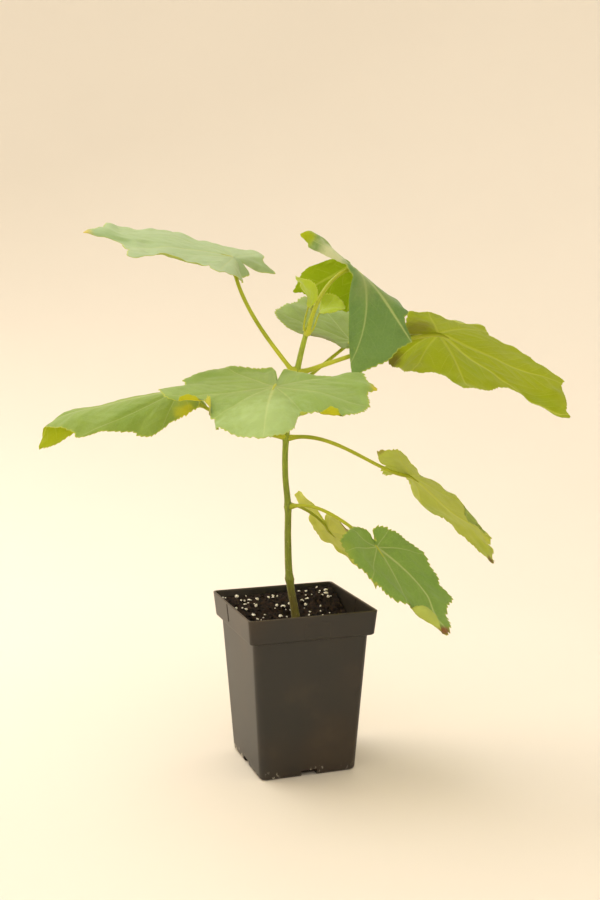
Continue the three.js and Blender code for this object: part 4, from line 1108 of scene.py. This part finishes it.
# Leaf skin: mottled green with pale veins, a net of small veins between them, a pale margin, the blade's
# patches with ragged edges, some of them its own tints and some painted shadow and painted sheen, and fine
# noise as down.
def leafMaterial(name, leaf, side):
    material, tree = newMaterial(name)
    look, small = leafSides[side], leaf["small"]
    flat = addNode(tree, "ShaderNodeUVMap", None, uv_map="flat").outputs[0]
    along, across, toMidrib = veinNodes(tree, flat, leaf["veins"])
    inward = attributeNode(tree, "inward")
    wide = look["veinWidth"] * small * leaf["veinWidth"]
    mainWidth = mathNode(tree, "MULTIPLY_ADD", inward, 0.007 * wide, 0.22 * wide)
    midrib = lineNode(tree, toMidrib, times(tree, mainWidth, 1.5))
    vein = mathNode(tree, "MAXIMUM", times(tree, lineNode(tree, across, mainWidth), 0.75), midrib)
    lateral = lateralNode(tree, flat, along, across, inward, look["lateralWidth"], small)
    cellPlace = {"Vector": flat, "Scale": blade["mapSize"] / leafFinish["cell"]}
    cells = addNode(tree, "ShaderNodeTexVoronoi", cellPlace, feature="DISTANCE_TO_EDGE").outputs["Distance"]
    net = rampNode(tree, cells, 0.10, 0.02)
    mottle = noiseNode(tree, flat, leafFinish["mottle"], 4.0, 0.55)
    patchy = noiseNode(tree, flat, 5.5, 2.0, 0.5)
    shown, glow = screenColour(*leaf[side]), screenColour(*leaf["through"])
    colour = mixColour(tree, rampNode(tree, mottle, 0.3, 0.7), weaker(shown, 0.9), shown)
    deeper = weaker(shown, (0.74, 0.84, 0.72))
    colour = mixColour(tree, times(tree, rampNode(tree, patchy, 0.5, 0.72), 0.7), colour, deeper)
    for share, strength in ((net, look["net"]), (lateral, look["lateral"]), (vein, look["vein"])):
        colour = mixColour(tree, times(tree, share, strength), colour, look["pale"])
    edge = times(tree, rampNode(tree, inward, 1.3, 0.3), 0.65)
    colour = mixColour(tree, edge, colour, leafFinish["margin"])
    through = mixColour(tree, times(tree, vein, 0.6), glow, weaker(glow, look["veinLight"]))
    # Each patch tints both the colour and the light let through. The crown's pale patches and the front leaf's
    # pale patch are painted sheen; upperRight's brownish one beside its stalk is painted shadow.
    for x, y, radius, tint, strength in leaf["patches"]:
        reach = radius / blade["mapSize"]
        centre = (x / blade["mapSize"] + 0.5, y / blade["mapSize"] + 0.5, 0.0)
        spot = vectorNode(tree, "DISTANCE", {0: flat, 1: centre}, "Value")
        ragged = mathNode(tree, "MULTIPLY_ADD", noiseNode(tree, flat, 30.0, 4.0, 0.6), reach * 1.6, spot)
        tinted = times(tree, rampNode(tree, ragged, reach * 2.2, reach), strength)
        colour = mixColour(tree, tinted, colour, tint)
        through = mixColour(tree, tinted, through, tint)
    down = noiseNode(tree, flat, 520.0, 2.0, 0.7)
    swell = times(tree, rampNode(tree, cells, 0.0, 0.22), look["swell"])
    height = mathNode(tree, "MULTIPLY_ADD", down, 0.25, swell)
    height = mathNode(tree, "MULTIPLY_ADD", lateral, look["lateralRise"], height)
    height = mathNode(tree, "MULTIPLY_ADD", vein, look["veinRise"], height)
    finishMaterial(tree, colour, height, leafFinish, through, look["glow"])
    return material


# Leaf stalks: under is how far each runs on under its blade, and the flares are shares of its radius.
stalks = {
    "rows": 84, "sides": 18, "clear": 0.3, "footFlare": 0.55, "footLength": 0.05, "endFlare": 0.18,
    "under": 9.0, "underRows": 9, "smoothings": 4, "glow": 0.18,
    "shade": (166, 177, 30), "pale": (196, 203, 50), "foot": (142, 156, 34), "rim": (0.95, 0.95, 0.35),
}


# A stalk's unevenness by the way along it and the turn round it: soft ridges and a groove on one side.
def unevenStalk(share, turn):
    ridges = 0.03 * np.sin(3 * turn + 9 * share) + 0.02 * np.sin(40 * share + 2 * turn)
    return 1 + ridges - 0.05 * np.exp(-((turn - np.pi) / 0.5) ** 2)


# One stalk: the tube's path is a cubic curve from inside the stem to the blade, then a short way along under
# the midrib. It is thicker at its foot and flares a little where it meets the blade.
def makeStalk(name, leaf):
    height, (heading, rise, pull), (endHeading, endRise, endPull), (thick, thin) = leaf["stalk"]
    small = leaf["small"]
    axes, margin = bladeAxes(leaf), marginTable(leaf)
    middle = stemPoint(height)
    out = stemRadius(height) + stalks["clear"] + thick * abs(math.sin(math.radians(rise)))
    start = middle + direction(heading, 0) * out
    end = np.array(leaf["at"]) - axes[2] * (blade["halfThickness"] + thin * 0.6)
    first = start + direction(heading, rise) * pull
    second = end - direction(endHeading, endRise) * endPull
    t = np.linspace(0, 1, stalks["rows"])[:, None]
    rest = 1 - t
    curve = rest ** 3 * start + 3 * rest ** 2 * t * first + 3 * rest * t ** 2 * second + t ** 3 * end
    root = middle + (start - middle) * np.linspace(0.25, 0.9, 5)[:, None]
    x = np.linspace(1.2, stalks["under"], stalks["underRows"]) * small
    y = np.zeros_like(x)
    sunk = np.linspace(0.55, 0.1, len(x))[:, None] * thin
    below = bladeNormals(leaf, axes, margin, x, y) * (blade["halfThickness"] + sunk)
    last = bladeSurface(leaf, axes, margin, x, y) - below
    path = np.concatenate([root, curve, last])
    for _ in range(stalks["smoothings"]):
        path[1:-1] = (path[:-2] + 2 * path[1:-1] + path[2:]) / 4
    walked = np.concatenate([[0.0], np.cumsum(np.linalg.norm(np.diff(path, axis=0), axis=1))])
    share = walked / walked[-1]
    radii = thick + (thin - thick) * np.sqrt(share)
    radii = radii * (1 + stalks["footFlare"] * np.exp(-(share / stalks["footLength"]) ** 2))
    under = stalks["under"] * small
    beyond = np.clip((walked - walked[-1] + under) / under, 0, 1)
    flare = stalks["endFlare"] * np.exp(-((beyond - 0.05) / 0.3) ** 2) * (share > 0.8)
    radii = radii * (1 + flare) * (1 - 0.6 * beyond)
    aside = direction(heading + 37, 75)
    points, faces = closedTube(tubePoints(path, radii, stalks["sides"], aside, unevenStalk), path)
    piece = meshPiece("stalk" + capital(name), points, faces, [stalkMaterial("stalk" + capital(name))])
    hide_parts("petiole_" + solidName(name))
    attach(piece, "root")


# Stalk skin: yellow green with darker streaks and a fine down.
def stalkMaterial(name):
    material, tree = newMaterial(name)
    place = placeNode(tree)
    slow = noiseNode(tree, place, 26.0, 2.0)
    colour = mixColour(tree, rampNode(tree, slow, 0.35, 0.65), stalks["shade"], stalks["pale"])
    flecks = rampNode(tree, noiseNode(tree, place, 700.0, 2.0), 0.45, 0.75)
    colour = mixColour(tree, times(tree, flecks, 0.25), colour, stalks["foot"])
    down = noiseNode(tree, place, 2200.0, 2.0)
    finish = {"bump": 0.2, "bumpDepth": 0.0002, "roughness": 0.5, "sheen": 0.5, "sheenTint": stalks["rim"]}
    finishMaterial(tree, colour, down, finish, colour, stalks["glow"])
    return material


# The bud: its radius is a sine of the way from the tip, steeper below the belly. Two clasping scales make a
# shallow seam on each side.
bud = {
    "height": 10.9, "radius": 1.6, "belly": 0.35, "sides": 28, "rows": 44, "sunk": 0.6, "lean": 0.6,
    "seam": 0.16, "young": (176, 186, 92), "dark": (128, 146, 58),
}


def makeBud():
    share, belly = np.linspace(0.0, 0.97, bud["rows"]), bud["belly"]
    half = np.where(share < belly, 1 - belly + share, 1 - (share - belly) / (1 - belly))
    turn = ringTurns(bud["sides"])[None, :]
    twist = turn + 1.2 * share[:, None]
    seam = bud["seam"] * np.exp(-(np.sin(twist) / 0.2) ** 2)
    uneven = 1 - seam + 0.05 * np.cos(2 * twist) + 0.03 * np.sin(6 * turn)
    reach = bud["radius"] * np.sin(half * np.pi / 2)[:, None] * uneven
    foot = stemPoint(stem["top"]) - np.array([0, 0, bud["sunk"]])
    path = foot + np.stack([bud["lean"] * share ** 2, 0 * share, share * bud["height"]], axis=-1)
    points, faces = levelTube(path, reach, turn)
    material, tree = newMaterial("budDown")
    place = placeNode(tree)
    streak = rampNode(tree, noiseNode(tree, place, 500.0, 4.0, 0.6), 0.35, 0.65)
    colour = mixColour(tree, streak, bud["dark"], bud["young"])
    down = noiseNode(tree, place, 2600.0, 2.0)
    finishMaterial(tree, colour, down, {"bump": 0.5, "bumpDepth": 0.0003, "roughness": 0.7, "sheen": 0.5})
    piece = meshPiece("topBud", points, faces, [material])
    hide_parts("bud")
    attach(piece, "root")
    print("bud made")


# Floor, light and camera. The camera's turn, rise, distance and target are worked out in millimetres.
stage = {
    "flat": 700.0, "flatRings": 7, "sweep": 2100.0, "wallTop": 2900.0, "sides": 96,
    "floorColour": (233, 226, 214), "world": (255, 247, 234), "worldStrength": 1.14,
    "turn": -19.07, "rise": 7.33, "distance": 960.0, "target": (5.8, 0.0, 245.5), "lens": 50.0,
}
# Where each lamp stands and what it points at, in metres.
lamps = {
    "topBack": {"at": (-0.55, 0.75, 1.35), "to": (0.0, 0.0, 0.3), "size": 1.1, "power": 12.0,
                "colour": (1.0, 0.97, 0.92)},
    "left": {"at": (-1.8, 0.7, 1.0), "to": (0.0, 0.0, 0.15), "size": 1.4, "power": 12.5,
             "colour": (1.0, 0.8, 0.56)},
    "front": {"at": (-0.3, -2.1, 1.0), "to": (0.3, 1.4, 0.6), "size": 1.8, "power": 11.0,
              "colour": (1.0, 0.98, 0.95)},
}


# The floor is a wide flat disc whose rim sweeps up all round in a quarter circle, so that no edge shows.
def makeFloor():
    bends = np.radians(np.linspace(0, 90, 19))[1:]
    flat, sweep, flatRings = stage["flat"], stage["sweep"], stage["flatRings"]
    inner = np.linspace(0, flat, flatRings + 1)[1:]
    reach = np.concatenate([inner, flat + sweep * np.sin(bends), [flat + sweep]])[:, None]
    height = np.concatenate([np.zeros(flatRings), sweep * (1 - np.cos(bends)), [stage["wallTop"]]])[:, None]
    turns = ringTurns(stage["sides"])
    grid = np.stack([reach * np.cos(turns), reach * np.sin(turns), height + 0 * turns], axis=-1)
    points = np.concatenate([grid.reshape(-1, 3), [[0.0, 0.0, 0.0]]])
    faces = [ringFaces(len(reach), stage["sides"])[:, ::-1], fanFaces(0, stage["sides"], len(points) - 1)]
    material, tree = newMaterial("paleFloor")
    cloud = noiseNode(tree, placeNode(tree), 3.0, 2.0)
    shade = screenColour(*stage["floorColour"])
    colour = mixColour(tree, cloud, weaker(shade, 0.97), shade)
    finishMaterial(tree, colour, cloud, {"bump": 0.02, "bumpDepth": 0.001, "roughness": 0.6, "gloss": 0.2})
    floor = meshPiece("floor", points, faces, [material])
    print("floor made")


def makeLight():
    world = bpy.data.worlds.new("softRoom")
    world.use_nodes = True
    background = world.node_tree.nodes["Background"]
    background.inputs["Color"].default_value = screenColour(*stage["world"])
    background.inputs["Strength"].default_value = stage["worldStrength"]
    bpy.context.scene.world = world
    for name, lamp in lamps.items():
        data = bpy.data.lights.new(name, "AREA")
        data.shape = "DISK"
        data.size = lamp["size"]
        data.energy = lamp["power"]
        data.color = lamp["colour"]
        light = bpy.data.objects.new(name, data)
        light.location = lamp["at"]
        light.rotation_euler = (Vector(lamp["to"]) - Vector(lamp["at"])).to_track_quat("-Z", "Y").to_euler()
        bpy.context.scene.collection.objects.link(light)
    print("lamps made")


# The camera stands back from the target, opposite to the way it looks.
def makeCamera():
    turn, rise = math.radians(stage["turn"]), math.radians(stage["rise"])
    back = Vector((math.sin(turn) * math.cos(rise), -math.cos(turn) * math.cos(rise), math.sin(rise)))
    target = Vector(stage["target"]) * millimetre
    data = bpy.data.cameras.new("camera")
    data.lens = stage["lens"]
    data.sensor_width = 36.0
    data.clip_start = 0.01
    camera = bpy.data.objects.new("camera", data)
    camera.location = target + back * stage["distance"] * millimetre
    camera.rotation_euler = (-back).to_track_quat("-Z", "Y").to_euler()
    bpy.context.scene.collection.objects.link(camera)
    bpy.context.scene.camera = camera
    print("camera made")


makePot()
makeSoil()
makeStem()
for name, shape in leafShapes.items():
    leaf = plainLeaf | shape | leafLooks[name]
    makeBlade(name, leaf)
    makeStalk(name, leaf)
    print("leaf made:", name)
makeBud()
makeFloor()
makeLight()
makeCamera()
bpy.context.scene.view_settings.view_transform = "Standard"
